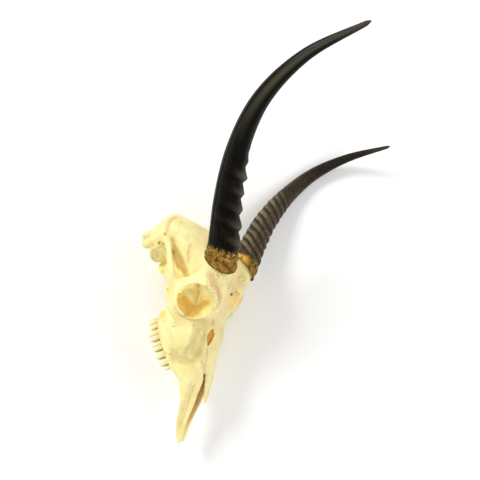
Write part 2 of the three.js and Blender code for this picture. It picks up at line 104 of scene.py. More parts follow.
def cell_noise(points: Array, cell: float, seed: int) -> Array:
    """Smooth random relief with features about one cell wide.

    Formula: the lattice values at the eight corners around a point, mixed by
    t = f * f * (3 - 2 * f) along each axis, where f is the place inside the cell.

    Args:
        points: (n, 3) places in millimetres.
        cell: the lattice spacing in millimetres.
        seed: which pattern.

    Returns:
        (n,) values from -1 to 1.
    """
    scaled = points / cell
    base = np.floor(scaled).astype(np.int64)
    part = scaled - base
    part = part * part * (3 - 2 * part)
    total = np.zeros(len(points))
    for corner in range(8):
        step = np.array([corner & 1, (corner >> 1) & 1, (corner >> 2) & 1])
        weight = np.prod(np.where(step, part, 1 - part), axis=1)
        at = base + step
        total += weight * lattice_value(at[:, 0], at[:, 1], at[:, 2], seed)
    return total


def layered_noise(points: Array, cell: float, seed: int, layers: int = 3) -> Array:
    """Noise of ever finer cells, each half as wide and half as strong as the one before."""
    total = np.zeros(len(points))
    for layer in range(layers):
        total += cell_noise(points, cell / 2**layer, seed + layer) / 2**layer
    return total


def curve_through(stops: Array, per_span: int, closed: bool = False) -> Array:
    """Points on a centripetal Catmull-Rom curve through the stops.

    Formula: on each span a cubic runs from one stop to the next, and its end slopes come from
    the neighbouring stops, each weighted by the square root of the distance to it.

    Args:
        stops: (n, 3) stops.
        per_span: how many points each span gets.
        closed: whether the curve returns to its first stop.

    Returns:
        (m, 3) points, the last stop included where the curve is open.
    """
    stops = np.asarray(stops, float)
    if closed:
        padded = np.vstack([stops[-1:], stops, stops[:2]])
    else:
        padded = np.vstack([2 * stops[0] - stops[1], stops, 2 * stops[-1] - stops[-2]])
    found = []
    t = (np.arange(per_span) / per_span)[:, None]
    for index in range(len(padded) - 3):
        p0, p1, p2, p3 = padded[index:index + 4]
        pairs = ((p0, p1), (p1, p2), (p2, p3))
        gap0, gap1, gap2 = (math.sqrt(np.linalg.norm(b - a)) for a, b in pairs)
        slope1 = ((p1 - p0) / gap0 - (p2 - p0) / (gap0 + gap1) + (p2 - p1) / gap1) * gap1
        slope2 = ((p2 - p1) / gap1 - (p3 - p1) / (gap1 + gap2) + (p3 - p2) / gap2) * gap1
        square = -3 * p1 + 3 * p2 - 2 * slope1 - slope2
        cube = 2 * p1 - 2 * p2 + slope1 + slope2
        found.append(p1 + slope1 * t + square * t**2 + cube * t**3)
    if not closed:
        found.append(stops[-1:])
    return np.vstack(found)


def path_distance(points: Array, path: Array) -> Array:
    """How far each point is from an open line through the path's points.

    Args:
        points: (n, 3) places.
        path: (m, 3) points along the line.

    Returns:
        (n,) distances.
    """
    nearest = np.full(len(points), np.inf)
    for start, end in zip(path[:-1], path[1:]):
        along = end - start
        share = np.clip((points - start) @ along / (along @ along), 0, 1)
        gap = np.linalg.norm(points - start - share[:, None] * along, axis=1)
        nearest = np.minimum(nearest, gap)
    return nearest


def part_along(offsets: tuple, axis: Array) -> Array:
    """How far offsets, given as x, y and z arrays, reach along an axis."""
    return offsets[0] * axis[0] + offsets[1] * axis[1] + offsets[2] * axis[2]


def egg_distance(shares: tuple, radii: tuple) -> Array:
    """About how far places are outside an egg-shaped surface; inside it is below zero.

    Formula: k0 * (k0 - 1) / k1, where k0 is the length of the shares and k1 is their length
    once each is divided by its radius.

    Args:
        shares: the places along the egg's three axes, as shares of its radii.
        radii: the three radii.

    Returns:
        The distances.
    """
    k0 = np.sqrt(sum(share * share for share in shares))
    k1 = np.sqrt(sum((share / radius) ** 2 for share, radius in zip(shares, radii)))
    return k0 * (k0 - 1) / np.maximum(k1, 1e-6)


def to_right(points: Array) -> Array:
    """The points, with those on the animal's left moved to its right."""
    return np.column_stack([np.abs(points[:, 0]), points[:, 1:]])


def tube_faces(count: int, columns: int) -> Array:
    """The quads between the neighbouring rings of a tube.

    Args:
        count: how many rings there are.
        columns: how many points each ring has.

    Returns:
        (n, 4) point numbers, ring by ring.
    """
    row, column = np.meshgrid(np.arange(count - 1), np.arange(columns), indexing="ij")
    after = (column + 1) % columns
    here, above = row * columns, (row + 1) * columns
    return np.stack([here + column, here + after, above + after, above + column], -1).reshape(-1, 4)


@dataclass(frozen=True)
class HeadPose:
    """How the head lies: the row frame's place of the head frame.

    The columns say where the head frame's X, Y and Z axes point in the row frame, and shift
    is where its origin is, in millimetres.
    """

    right: tuple = (-0.441976, 0.101391, 0.891279)
    nose: tuple = (0.0, -0.993592, 0.11303)
    crown: tuple = (0.897027, 0.049956, 0.439143)
    shift: tuple = (-170.6935, -21.944, 32.4765)

    def turn(self) -> Array:
        """The 3 by 3 matrix from the head frame to the row frame."""
        return np.array([self.right, self.nose, self.crown]).T

    def place(self, points: Array) -> Array:
        """Head frame points in millimetres as row frame points in metres, none below the surface.

        Args:
            points: (n, 3) places in the head frame.

        Returns:
            (n, 3) places in the row frame.
        """
        placed = (points @ self.turn().T + np.array(self.shift)) * MM
        placed[:, 2] = np.maximum(placed[:, 2], 0)
        return placed


POSE = HeadPose()


class Shape:
    """A solid that knows the box it fills and how far any point is from its surface."""

    def box(self) -> tuple:
        """The lowest and the highest corner."""
        raise NotImplementedError

    def distance(self, x: Array, y: Array, z: Array) -> Array:
        """About how far each point is outside the surface; inside it is below zero."""
        raise NotImplementedError

    def at(self, points: Array) -> Array:
        """The distance at each of a list of points, given as (n, 3)."""
        return self.distance(points[:, 0], points[:, 1], points[:, 2])


@dataclass(frozen=True)
class StationBody(Shape):
    """A rounded body through cross-sections at stated levels along the nose axis.

    Each row of the table is y, half width, top, level of greatest width, bottom, fullness
    above and fullness below. Formula: a section is the curve where |x / wide|^f + |rise /
    reach|^f = 1. Between rows the values run straight and are then averaged along y.
    """

    table: tuple
    even: float = 3.0
    cap: float = 5.0

    def box(self) -> tuple:
        """The lowest and the highest corner."""
        rows = np.array(self.table)
        wide = rows[:, 1].max()
        return (-wide, rows[0, 0], rows[:, 4].min()), (wide, rows[-1, 0], rows[:, 2].max())

    def _row_at(self, y: Array) -> list:
        """Each table column at the levels y."""
        rows = np.array(self.table)
        offsets = np.linspace(-1.5, 1.5, 7)
        weights = np.exp(-offsets**2)
        columns = []
        for column in rows[:, 1:].T:
            near = (np.interp(y + offset * self.even, rows[:, 0], column) for offset in offsets)
            columns.append(sum(weight * value for weight, value in zip(weights, near)) / weights.sum())
        return columns

    def _ratio(self, x: Array, y: Array, z: Array) -> Array:
        """How far out each point is, as a share of the way from the middle to the surface."""
        wide, top, mid, bottom, over, under = self._row_at(y)
        rise = z - mid
        reach = np.where(rise > 0, top - mid, mid - bottom)
        full = np.where(rise > 0, over, under)
        side = np.maximum(np.abs(x) / wide, 1e-6)
        height = np.maximum(np.abs(rise) / reach, 1e-6)
        return (side**full + height**full) ** (1 / full)

    def distance(self, x: Array, y: Array, z: Array) -> Array:
        """The ratio less one over its slope, closed by a rounded plane at either end."""
        step = 0.5
        ratio = self._ratio(x, y, z)
        slope = [
            (self._ratio(x + step, y, z) - self._ratio(x - step, y, z)) / (2 * step),
            (self._ratio(x, y + step, z) - self._ratio(x, y - step, z)) / (2 * step),
            (self._ratio(x, y, z + step) - self._ratio(x, y, z - step)) / (2 * step),
        ]
        steep = np.sqrt(sum(part**2 for part in slope))
        side = (ratio - 1) / np.maximum(steep, 0.01)
        first, last = self.table[0][0], self.table[-1][0]
        ends = np.maximum(first - y, y - last)
        return smooth_most(side, ends, self.cap)


@dataclass(frozen=True)
class Limb(Shape):
    """A bar of bone with an oval section that changes along a curve.

    Each stop is x, y, z, radius across, radius tall. Formula: the least of the egg distances
    from the curve's stretches, where a stretch's radii change evenly from end to end.
    """

    stops: tuple
    tall: tuple = (0.0, 0.0, 1.0)
    closed: bool = False
    per_span: int = 4

    def box(self) -> tuple:
        """The lowest and the highest corner."""
        rows = np.array(self.stops)
        reach = rows[:, 3:5].max()
        return tuple(rows[:, :3].min(0) - reach), tuple(rows[:, :3].max(0) + reach)

    def distance(self, x: Array, y: Array, z: Array) -> Array:
        """The least distance to any of the bar's stretches."""
        rows = np.array(self.stops, float)
        line = curve_through(rows[:, :3], self.per_span, self.closed)
        ring = np.vstack([rows, rows[:1]]) if self.closed else rows
        if self.closed:
            line = np.vstack([line, line[:1]])
        place = np.linspace(0, len(ring) - 1, len(line))
        wide = np.interp(place, np.arange(len(ring)), ring[:, 3])
        high = np.interp(place, np.arange(len(ring)), ring[:, 4])
        best = None
        for index in range(len(line) - 1):
            start, along = line[index], line[index + 1] - line[index]
            across = unit(np.cross(along, self.tall))
            up = unit(np.cross(across, along))
            offsets = (x - start[0], y - start[1], z - start[2])
            share = np.clip(part_along(offsets, along) / (along @ along), 0, 1)
            offsets = tuple(offset - share * step for offset, step in zip(offsets, along))
            a = wide[index] + share * (wide[index + 1] - wide[index])
            b = high[index] + share * (high[index + 1] - high[index])
            c = np.minimum(a, b)
            axes = ((across, a), (up, b), (unit(along), c))
            shares = tuple(part_along(offsets, axis) / radius for axis, radius in axes)
            here = egg_distance(shares, (a, b, c))
            best = here if best is None else np.minimum(best, here)
        return best


@dataclass(frozen=True)
class Lump(Shape):
    """An egg of bone: a centre and a radius along each axis."""

    centre: tuple
    radii: tuple

    def box(self) -> tuple:
        """The lowest and the highest corner."""
        middle, reach = np.array(self.centre), np.array(self.radii)
        return tuple(middle - reach), tuple(middle + reach)

    def distance(self, x: Array, y: Array, z: Array) -> Array:
        """The egg distance from the centre."""
        levels = zip((x, y, z), self.centre, self.radii)
        return egg_distance(tuple((level - at) / radius for level, at, radius in levels), self.radii)


@dataclass(frozen=True)
class EyeSocket(Shape):
    """The hollow of the right eye socket, and the oval that its rim follows.

    The opening's plane has an outward, a forehead and a nose direction. The hollow narrows
    from its opening to its end. Toward the nose and the forehead the oval lies deeper.
    """

    centre: tuple = (45.3, -0.5, 70.2)
    outward: tuple = (0.923, 0.339, 0.181)
    forehead: tuple = (-0.28, 0.266, 0.927)
    end: tuple = (31.2, -9.8, 65.3)
    recess: tuple = (-7.0, -1.5, -3.0)
    long_radius: float = 18.7
    tall_radius: float = 21.4
    depths: tuple = (-0.6, 0.0, 0.45, 0.85, 1.0)
    sizes: tuple = (1.12, 1.0, 0.94, 0.84, 0.76)
    rounding: float = 6.0

    def axes(self) -> tuple:
        """The nose, forehead and outward directions at length one."""
        out = unit(self.outward)
        tall = unit(self.forehead)
        return unit(np.cross(tall, out)), tall, out

    @staticmethod
    def _drawn(angle: Array) -> Array:
        """The share of the recess at each angle, most between the nose and the forehead."""
        return np.maximum(np.cos(angle - math.pi / 4), 0) ** 2

    def rim_point(self, angle: Array, reach: float) -> Array:
        """Points on the oval, a reach beyond the opening.

        Args:
            angle: (n,) angles from the nose direction toward the forehead.
            reach: millimetres outside the opening.

        Returns:
            (n, 3) points.
        """
        nose, tall, _ = self.axes()
        return (
            np.array(self.centre)
            + np.outer((self.long_radius + reach) * np.cos(angle), nose)
            + np.outer((self.tall_radius + reach) * np.sin(angle), tall)
            + np.outer(self._drawn(angle), self.recess)
        )

    def rim(self, reach: float, radius: float, deep: float) -> Limb:
        """The raised rim as a closed bar.

        Args:
            reach: from the opening out to the middle of the rim.
            radius: half the rim's width.
            deep: half the rim's depth.

        Returns:
            The bar.
        """
        angle = np.arange(24) * math.tau / 24
        swell = 1 + 0.14 * np.sin(angle * 3 + 0.6)
        rows = np.column_stack([self.rim_point(angle, reach), radius * swell, deep * swell])
        return Limb(tuple(map(tuple, rows)), tuple(self.axes()[2]), closed=True, per_span=2)

    def box(self) -> tuple:
        """The lowest and the highest corner."""
        return (18.0, -34.0, 36.0), (64.0, 28.0, 100.0)

    def distance(self, x: Array, y: Array, z: Array) -> Array:
        """The oval's share less one, times its radius at that depth."""
        nose, tall, out = self.axes()
        offsets = (x - self.centre[0], y - self.centre[1], z - self.centre[2])
        angle = np.arctan2(
            part_along(offsets, tall) / self.tall_radius,
            part_along(offsets, nose) / self.long_radius,
        )
        drawn = self._drawn(angle)
        offsets = tuple(offset - drawn * back for offset, back in zip(offsets, self.recess))
        axis = np.array(self.end) - np.array(self.centre)
        depth = part_along(offsets, out) / (axis @ out)
        size = np.interp(depth, self.depths, self.sizes)
        slide = np.clip(depth, self.depths[0], 1)
        u = part_along(offsets, nose) - slide * (axis @ nose)
        v = part_along(offsets, tall) - slide * (axis @ tall)
        share = np.sqrt((u / self.long_radius) ** 2 + (v / self.tall_radius) ** 2) / size
        side = (share - 1) * size * self.long_radius
        bottom = (depth - 1) * abs(axis @ out)
        return smooth_most(side, bottom, self.rounding)


@dataclass(frozen=True)
class NasalRoof(Shape):
    """The two nasal bones as one thin arch over the nose, ending in a point.

    Each row is y, half width, ridge height, drop to the edge. Formula: the outer surface is
    top - drop * (x / wide)^2, and the arch is an even thickness below it.
    """

    table: tuple = (
        (20.0, 17.0, 75.0, 6.2),
        (41.0, 15.2, 65.2, 8.0),
        (56.0, 13.2, 56.9, 7.5),
        (70.0, 11.0, 49.4, 6.5),
        (84.0, 8.5, 41.6, 5.5),
        (97.0, 5.3, 33.0, 4.0),
        (110.0, 1.3, 24.4, 1.5),
    )
    thick: float = 2.9
    steepness: float = 0.82
    rounding: float = 1.6

    def box(self) -> tuple:
        """The lowest and the highest corner."""
        return (-18.0, 20.0, 20.0), (18.0, 112.0, 79.0)

    def distance(self, x: Array, y: Array, z: Array) -> Array:
        """The larger of the distances from the arch's faces, its edges and its ends."""
        rows = np.array(self.table)
        wide, top, drop = (np.interp(y, rows[:, 0], column) for column in rows[:, 1:].T)
        middle = top - drop * (x / wide) ** 2 - self.thick / 2
        sheet = (np.abs(z - middle) - self.thick / 2) * self.steepness
        edge = np.abs(x) - wide
        ends = np.maximum(rows[0, 0] - y, y - rows[-1, 0])
        return smooth_most(smooth_most(sheet, edge, self.rounding), ends, self.rounding)


@dataclass(frozen=True)
class SightPlane:
    """A plane through a place on the head, square to a line of sight.

    Its coordinates are millimetres to the right, down and inward, as seen from outside.
    """

    centre: tuple
    inward: tuple = (-0.874, -0.205, -0.44)
    rightward: tuple = (-0.392, 0.296, 0.871)

    def axes(self) -> tuple:
        """The right, down and inward directions at length one."""
        inward = unit(self.inward)
        down = unit(np.cross(inward, self.rightward))
        return np.cross(down, inward), down, inward

    def place(self, right: float, down: float, inward: float) -> tuple:
        """The head frame point at the stated millimetres."""
        parts = zip((right, down, inward), self.axes())
        return tuple(np.array(self.centre) + sum(amount * axis for amount, axis in parts))

    def measure(self, x: Array, y: Array, z: Array) -> list:
        """How far right, down and inward each point is."""
        offsets = (x - self.centre[0], y - self.centre[1], z - self.centre[2])
        return [part_along(offsets, axis) for axis in self.axes()]


@dataclass(frozen=True)
class OutlineCut(Shape):
    """A hollow with a drawn outline, cut straight in from a plane.

    Formula: the distance to the nearest side of the outline, below zero inside it, plus the
    draft times the depth, and never deeper than stated.
    """

    plane: SightPlane
    outline: tuple
    depth: float
    above: float = 6.0
    draft: float = 0.05
    bottom: float = 3.0

    def box(self) -> tuple:
        """The lowest and the highest corner."""
        flat = np.array(self.outline)
        levels = (-self.above, self.depth)
        corners = np.array([self.plane.place(*spot, level) for spot in flat for level in levels])
        return tuple(corners.min(0)), tuple(corners.max(0))

    def distance(self, x: Array, y: Array, z: Array) -> Array:
        """The distance to the cut's sides and bottom."""
        right, down, inward = self.plane.measure(x, y, z)
        corners = np.array(self.outline, float)
        nearest = np.full(right.shape, np.inf)
        inside = np.zeros(right.shape, bool)
        for (ax, ay), (bx, by) in zip(corners, np.roll(corners, -1, axis=0)):
            ex, ey = bx - ax, by - ay
            share = np.clip(((right - ax) * ex + (down - ay) * ey) / (ex * ex + ey * ey), 0, 1)
            nearest = np.minimum(nearest, np.hypot(right - ax - share * ex, down - ay - share * ey))
            if ey:
                crossing = ((ay > down) != (by > down)) & (right < ax + (down - ay) * ex / ey)
                inside ^= crossing
        side = np.where(inside, -nearest, nearest) + self.draft * inward
        hollow = smooth_most(side, inward - self.depth, self.bottom)
        return np.maximum(hollow, -self.above - inward)


@dataclass
class BoneField:
    """A grid of distances that shapes are joined to and carved from.

    Attributes:
        axes: the grid's x, y and z levels.
        values: the distance at each grid point.
        reach: how far from a shape the grid is still changed by it.
    """

    axes: list
    values: Array
    reach: float = 7.0

    @classmethod
    def right_half(cls, spacing: float, high: tuple, low: tuple) -> "BoneField":
        """An empty grid for the right half of the head.

        Args:
            spacing: between grid points.
            high: the highest x, y and z.
            low: the lowest y and z.

        Returns:
            The grid.
        """
        axes = [
            np.arange(0.5, high[0] / spacing) * spacing,
            np.arange(low[0], high[1], spacing),
            np.arange(low[1], high[2], spacing),
        ]
        return cls(axes, np.full([len(axis) for axis in axes], 9.0))

    def whole(self) -> "BoneField":
        """This half and its mirror image as one grid."""
        x = np.concatenate([-self.axes[0][::-1], self.axes[0]])
        values = np.concatenate([self.values[::-1], self.values])
        return BoneField([x, self.axes[1], self.axes[2]], values, self.reach)

    def _spacing(self) -> float:
        """The distance between grid points."""
        return self.axes[1][1] - self.axes[1][0]

    def _start(self) -> Array:
        """The grid's lowest corner."""
        return np.array([axis[0] for axis in self.axes])

    def _window(self, shape: Shape) -> tuple:
        """The grid's slices around a shape, and their levels ready for broadcasting."""
        low, high = shape.box()
        slices = []
        for axis, start, end in zip(self.axes, low, high):
            first = np.searchsorted(axis, start - self.reach)
            slices.append(slice(first, np.searchsorted(axis, end + self.reach)))
        levels = [axis[part] for axis, part in zip(self.axes, slices)]
        return tuple(slices), np.meshgrid(*levels, indexing="ij", sparse=True)

    def join(self, shape: Shape, soft: float) -> None:
        """Adds a shape, rounded where it meets what is there."""
        window, levels = self._window(shape)
        self.values[window] = smooth_least(self.values[window], shape.distance(*levels), soft)

    def carve(self, shape: Shape, soft: float) -> None:
        """Takes a shape away, rounded at the edge that this leaves."""
        window, levels = self._window(shape)
        self.values[window] = smooth_most(self.values[window], -shape.distance(*levels), soft)

    def surface(self) -> tuple:
        """The points and the faces of the surface where the distance is zero.

        Returns:
            (n, 3) points in millimetres and (m, 4) point numbers of each face.
        """
        grid = openvdb.FloatGrid(self.reach)
        clipped = np.clip(self.values, -self.reach, self.reach).astype(np.float32)
        grid.copyFromArray(clipped, tolerance=0.0)
        points, _, quads = grid.convertToPolygons(0.0, 0.0)
        points = points.astype(float) * self._spacing() + self._start()
        return keep_largest(points, quads.astype(np.int64))

    def mean_around(self, points: Array, width: int) -> Array:
        """The average distance in a box around each point: below zero in a hollow.

        Formula: sums along each axis by differences of running totals, then the nearest grid
        point's value.

        Args:
            points: (n, 3) places.
            width: the box's width in grid steps.

        Returns:
            (n,) averages.
        """
        mean = np.clip(self.values, -self.reach, self.reach)
        for axis in range(3):
            total = np.cumsum(np.insert(mean, 0, 0, axis=axis), axis=axis)
            count = mean.shape[axis]
            upper = np.minimum(np.arange(count) + width // 2 + 1, count)
            lower = np.maximum(np.arange(count) - width // 2, 0)
            span = (upper - lower).reshape([-1 if a == axis else 1 for a in range(3)])
            mean = (np.take(total, upper, axis) - np.take(total, lower, axis)) / span
        near = np.rint((points - self._start()) / self._spacing()).astype(int)
        near = np.clip(near, 0, np.array(mean.shape) - 1)
        return mean[near[:, 0], near[:, 1], near[:, 2]]


def keep_largest(points: Array, faces: Array) -> tuple:
    """The largest connected part of a surface.

    Formula: every point takes the lowest number among its face's points, again and again,
    until nothing changes. Points with the same number are connected.

    Args:
        points: (n, 3) points.
        faces: (m, 4) faces.

    Returns:
        The kept points and faces.
    """
    label = np.arange(len(points))
    while True:
        lowest = label[faces].min(axis=1)
        new = label.copy()
        for corner in range(faces.shape[1]):
            np.minimum.at(new, faces[:, corner], lowest)
        new = new[new]
        if np.array_equal(new, label):
            break
        label = new
    names, counts = np.unique(label, return_counts=True)
    kept = label == names[counts.argmax()]
    renumbered = np.cumsum(kept) - 1
    return points[kept], renumbered[faces[kept[faces[:, 0]]]]


def point_normals(points: Array, faces: Array) -> Array:
    """Unit normals at the points, from the diagonals' cross product of each face."""
    a, b, c, d = (points[faces[:, corner]] for corner in range(4))
    across = np.cross(c - a, d - b)
    normals = np.zeros_like(points)
    for corner in range(4):
        for axis in range(3):
            normals[:, axis] += np.bincount(faces[:, corner], across[:, axis], len(points))
    return normals / np.maximum(np.linalg.norm(normals, axis=1, keepdims=True), 1e-9)


def outward_faces(points: Array, faces: Array) -> Array:
    """The faces, all turned over where the surface is inside out."""
    a, b, c, d = (points[faces[:, corner]] for corner in range(4))
    volume = np.einsum("ij,ij->", a + b + c + d, np.cross(c - a, d - b))
    return faces if volume > 0 else faces[:, ::-1]


def add_object(name: str, data: bpy.types.ID) -> Piece:
    """A new object in the scene that holds a mesh, a light or a camera."""
    made = bpy.data.objects.new(name, data)
    bpy.context.scene.collection.objects.link(made)
    return made


def make_piece(name: str, points: Array, faces: list, layers: dict) -> Piece:
    """A smooth-shaded piece at the origin, with its place in its mesh.

    Args:
        name: the piece's name.
        points: (n, 3) head frame points in millimetres.
        faces: the point numbers of each face.
        layers: point values by attribute name.

    Returns:
        The new object, linked to the scene.
    """
    mesh = bpy.data.meshes.new(name)
    mesh.from_pydata(POSE.place(points).tolist(), [], faces)
    mesh.polygons.foreach_set("use_smooth", np.ones(len(faces), bool))
    for layer, values in layers.items():
        attribute = mesh.attributes.new(layer, "FLOAT", "POINT")
        attribute.data.foreach_set("value", np.asarray(values, np.float32))
    mesh.validate()
    mesh.update()
    return add_object(name, mesh)


class Tint(Enum):
    """What a coloured patch on the bone is, a stain or painted shade, and the attribute that holds it."""

    STAIN = "stain"
    DEEP = "deep"
    BEIGE = "beige"
    # Painted shade: olive under the rim, on concave faces and in grooves and creases.
    OLIVE = "olive"
    PINK = "pink"
    RUST = "rust"
    GOLD = "gold"
    # Painted shade inside holes, slits and the socket's cleft.
    DARK = "dark"


@dataclass(frozen=True)
class Patch:
    """A soft-edged coloured patch along a line of points on the bone."""

    tint: Tint
    line: tuple
    radius: float
    strength: float
    on_both: bool = True

    def cover(self, points: Array) -> Array:
        """The patch's strength at each point.

        Args:
            points: (n, 3) places.

        Returns:
            (n,) values from 0 to the strength.
        """
        seen = to_right(points) if self.on_both else points
        line = np.array(self.line, float)
        if len(line) == 1:
            gap = np.linalg.norm(seen - line[0], axis=1)
        else:
            gap = path_distance(seen, curve_through(line, 4) if len(line) > 2 else line)
        gap = gap * (1 + 0.25 * cell_noise(points, self.radius * 0.6, 31))
        return self.strength * (1 - soft_step(0.35, 1.0, gap / self.radius))


@dataclass
class Skull:
    """The bony skull: a field of joined and carved shapes, its surface, relief, stains and painted shade."""

    spacing: float = 1.25
    full_hollow: float = 1.6
    socket_view: SightPlane = SightPlane((45.3, -0.5, 70.2))
    gap_view: SightPlane = SightPlane((15.0, 41.0, 62.0))
    slot_view: SightPlane = SightPlane((20.5, 26.5, 72.3))
    socket: EyeSocket = EyeSocket()
    cranium: StationBody = StationBody((
        (-127.0, 11.0, 58.5, 55.0, 51.0, 2.2, 2.2),
        (-121.5, 23.5, 63.5, 53.5, 38.0, 2.2, 2.2),
        (-115.0, 30.5, 69.5, 51.0, 21.0, 2.1, 2.2),
        (-105.5, 34.7, 78.3, 54.0, 13.0, 2.1, 2.2),
        (-94.0, 36.5, 88.0, 60.0, 14.0, 2.2, 1.9),
        (-79.0, 35.5, 97.0, 68.0, 17.0, 2.2, 1.7),
        (-63.0, 34.0, 107.5, 76.0, 21.0, 2.2, 1.4),
        (-48.0, 34.0, 114.2, 82.0, 24.0, 2.2, 1.3),
        (-34.0, 36.0, 112.0, 82.0, 25.0, 2.2, 1.2),
        (-20.0, 28.0, 102.0, 76.0, 25.0, 2.2, 1.3),
        (-4.0, 19.0, 84.0, 60.0, 22.0, 2.2, 1.6),
    ))
    forehead: StationBody = StationBody((
        (-38.0, 36.0, 112.0, 97.0, 84.0, 3.0, 2.2),
        (-27.0, 44.0, 106.5, 87.0, 68.0, 3.0, 2.2),
        (-15.0, 48.0, 97.5, 74.0, 50.0, 2.8, 2.2),
        (0.0, 46.8, 86.6, 64.0, 38.0, 2.4, 2.2),
        (12.0, 42.8, 79.6, 57.0, 32.0, 1.95, 2.2),
        (24.0, 36.0, 75.0, 51.0, 28.0, 1.9, 2.2),
        (36.0, 31.0, 69.5, 46.0, 24.0, 1.9, 2.2),
        (48.0, 26.0, 62.0, 40.0, 20.0, 1.9, 2.2),
    ))
    jaw: StationBody = StationBody((
        (-8.0, 29.0, 34.0, 23.0, 13.0, 2.2, 2.2),
        (-1.0, 34.0, 50.0, 25.0, 9.0, 2.2, 2.2),
        (12.0, 37.5, 60.0, 30.0, 8.0, 2.2, 2.2),
        (28.0, 37.5, 66.0, 31.0, 8.0, 2.0, 2.2),
        (42.0, 34.5, 64.0, 28.0, 8.0, 1.9, 2.2),
        (52.0, 29.0, 59.0, 25.0, 7.0, 1.9, 2.2),
        (62.0, 24.0, 53.0, 23.0, 5.0, 1.9, 2.2),
        (72.0, 19.0, 46.5, 21.0, 3.0, 1.9, 2.2),
        (81.0, 15.5, 41.0, 19.0, 3.0, 1.9, 2.2),
    ), cap=2.0)
    nose_hollow: StationBody = StationBody((
        (6.0, 4.0, 52.0, 44.0, 38.0, 2.2, 2.2),
        (22.0, 10.0, 62.0, 40.0, 26.0, 2.2, 2.2),
        (42.0, 14.0, 61.0, 36.0, 18.0, 2.2, 2.2),
        (60.0, 15.0, 51.5, 31.0, 14.0, 2.2, 2.2),
        (74.0, 13.5, 43.0, 26.0, 11.0, 2.2, 2.2),
        (90.0, 11.0, 42.0, 24.0, 9.0, 2.2, 2.2),
    ))
    cheek_arch: Limb = Limb((
        (30, -88, 50, 8, 8),
        (42, -81, 54, 3.4, 4.8),
        (50, -69, 57, 2.3, 3.8),
        (53.5, -54, 56, 2.5, 4.0),
        (54, -40, 54, 2.7, 4.4),
        (53.5, -27, 50, 3, 6),
        (51, -14, 44.5, 3.6, 8),
        (45.5, 2, 42.5, 5.5, 9),
        (31, 20, 42, 6, 9),
    ))
    eye_bar: Limb = Limb((
        (34, -22, 94, 7, 8),
        (43, -22.5, 84, 4.2, 7.5),
        (49.5, -22.5, 71, 3.0, 6),
        (52.5, -24, 56, 3.0, 6.5),
        (53, -24, 48, 3, 6),
    ), (0, 1, 0.3))
    tooth_ridge: Limb = Limb((
        (25.5, -4, 13.5, 5.0, 5.0),
        (27.8, 8, 10.5, 7.0, 6.5),
        (28, 26, 9, 7.0, 6.5),
        (25.8, 44, 8.5, 6.2, 6),
        (22, 60, 8.5, 4.8, 5.5),
        (17.5, 72, 10, 2.6, 4),
    ))
    nose_blade: Limb = Limb((
        (19.5, 64, 24, 3, 19),
        (15.2, 76, 20.5, 2.8, 17.5),
        (12, 88, 13.5, 2.6, 13.5),
        (9.8, 100, 6.5, 2.6, 9.8),
        (8, 112, -3.5, 2.6, 8),
        (6.8, 123, -12, 2.8, 6.6),
        (5.4, 134, -18.6, 2.8, 5),
        (3.9, 141.5, -22, 2.1, 3),
    ))
    nose_floor: Limb = Limb((
        (3.2, 70, 5.5, 3, 2),
        (3.4, 92, 1, 2.6, 1.8),
        (3.6, 112, -8.5, 2.4, 1.8),
        (4.4, 130, -18.5, 3, 2.4),
    ))
    skull_plate: Limb = Limb((
        (12, -68, 19.5, 2.8, 7),
        (13, -58, 26, 2.3, 8.5),
        (13, -42, 36, 2.4, 12),
        (14, -20, 33, 2.4, 16),
        (18, -2, 28, 4, 18),
    ))
    pedicle_right: Limb = Limb((
        (24, -14, 86, 18, 18),
        (29, -23.5, 97.2, 17, 17.4),
        (35, -34, 111, 15.2, 16),
        (42.5, -46.5, 119.5, 13.3, 14),
        (45.5, -52.0, 123.0, 6, 6.5),
    ), (0, 1, 0))
    pedicle_left: Limb = Limb((
        (-24, -14, 86, 18, 18),
        (-28.5, -23.5, 96.2, 17, 17.4),
        (-33.2, -33.6, 108.5, 15.2, 16),
        (-41.3, -46.5, 116.8, 13.3, 14),
        (-44.5, -52.0, 120.2, 6, 6.5),
    ), (0, 1, 0))
    brow: Lump = Lump((22, -8, 79.4), (18, 24, 14.2))
    condyle: Lump = Lump((12.5, -111, 12.6), (8.3, 8.8, 10.2))
    ear_bulb: Lump = Lump((21, -81, 23.2), (9, 11.5, 10.4))
    ear_process: Lump = Lump((25, -98, 20), (7, 7, 13))
    ear_canal: Limb = Limb(((24, -84, 33, 6, 6), (31, -86, 36, 4.6, 4.6), (36.4, -88, 39, 3.6, 3.6)))
    socket_floor: Lump = Lump((39, -4, 46), (11, 14, 9))
    spinal_opening: Lump = Lump((0, -117, 12), (8.5, 14, 7.5))
    left_brow_pit: Lump = Lump((-18.0, 4.0, 95.0), (5.0, 9.5, 5.0))
    left_brow_hole: Lump = Lump((-7.9, -2.3, 93.0), (1.2, 1.7, 2.6))
    forehead_slit: Limb = Limb((
        (-1.2, -17.5, 101.8, 0.7, 1.0),
        (-1.1, -13, 98.4, 0.8, 1.1),
        (-1, -8.5, 94.3, 0.7, 1.0),
    ))

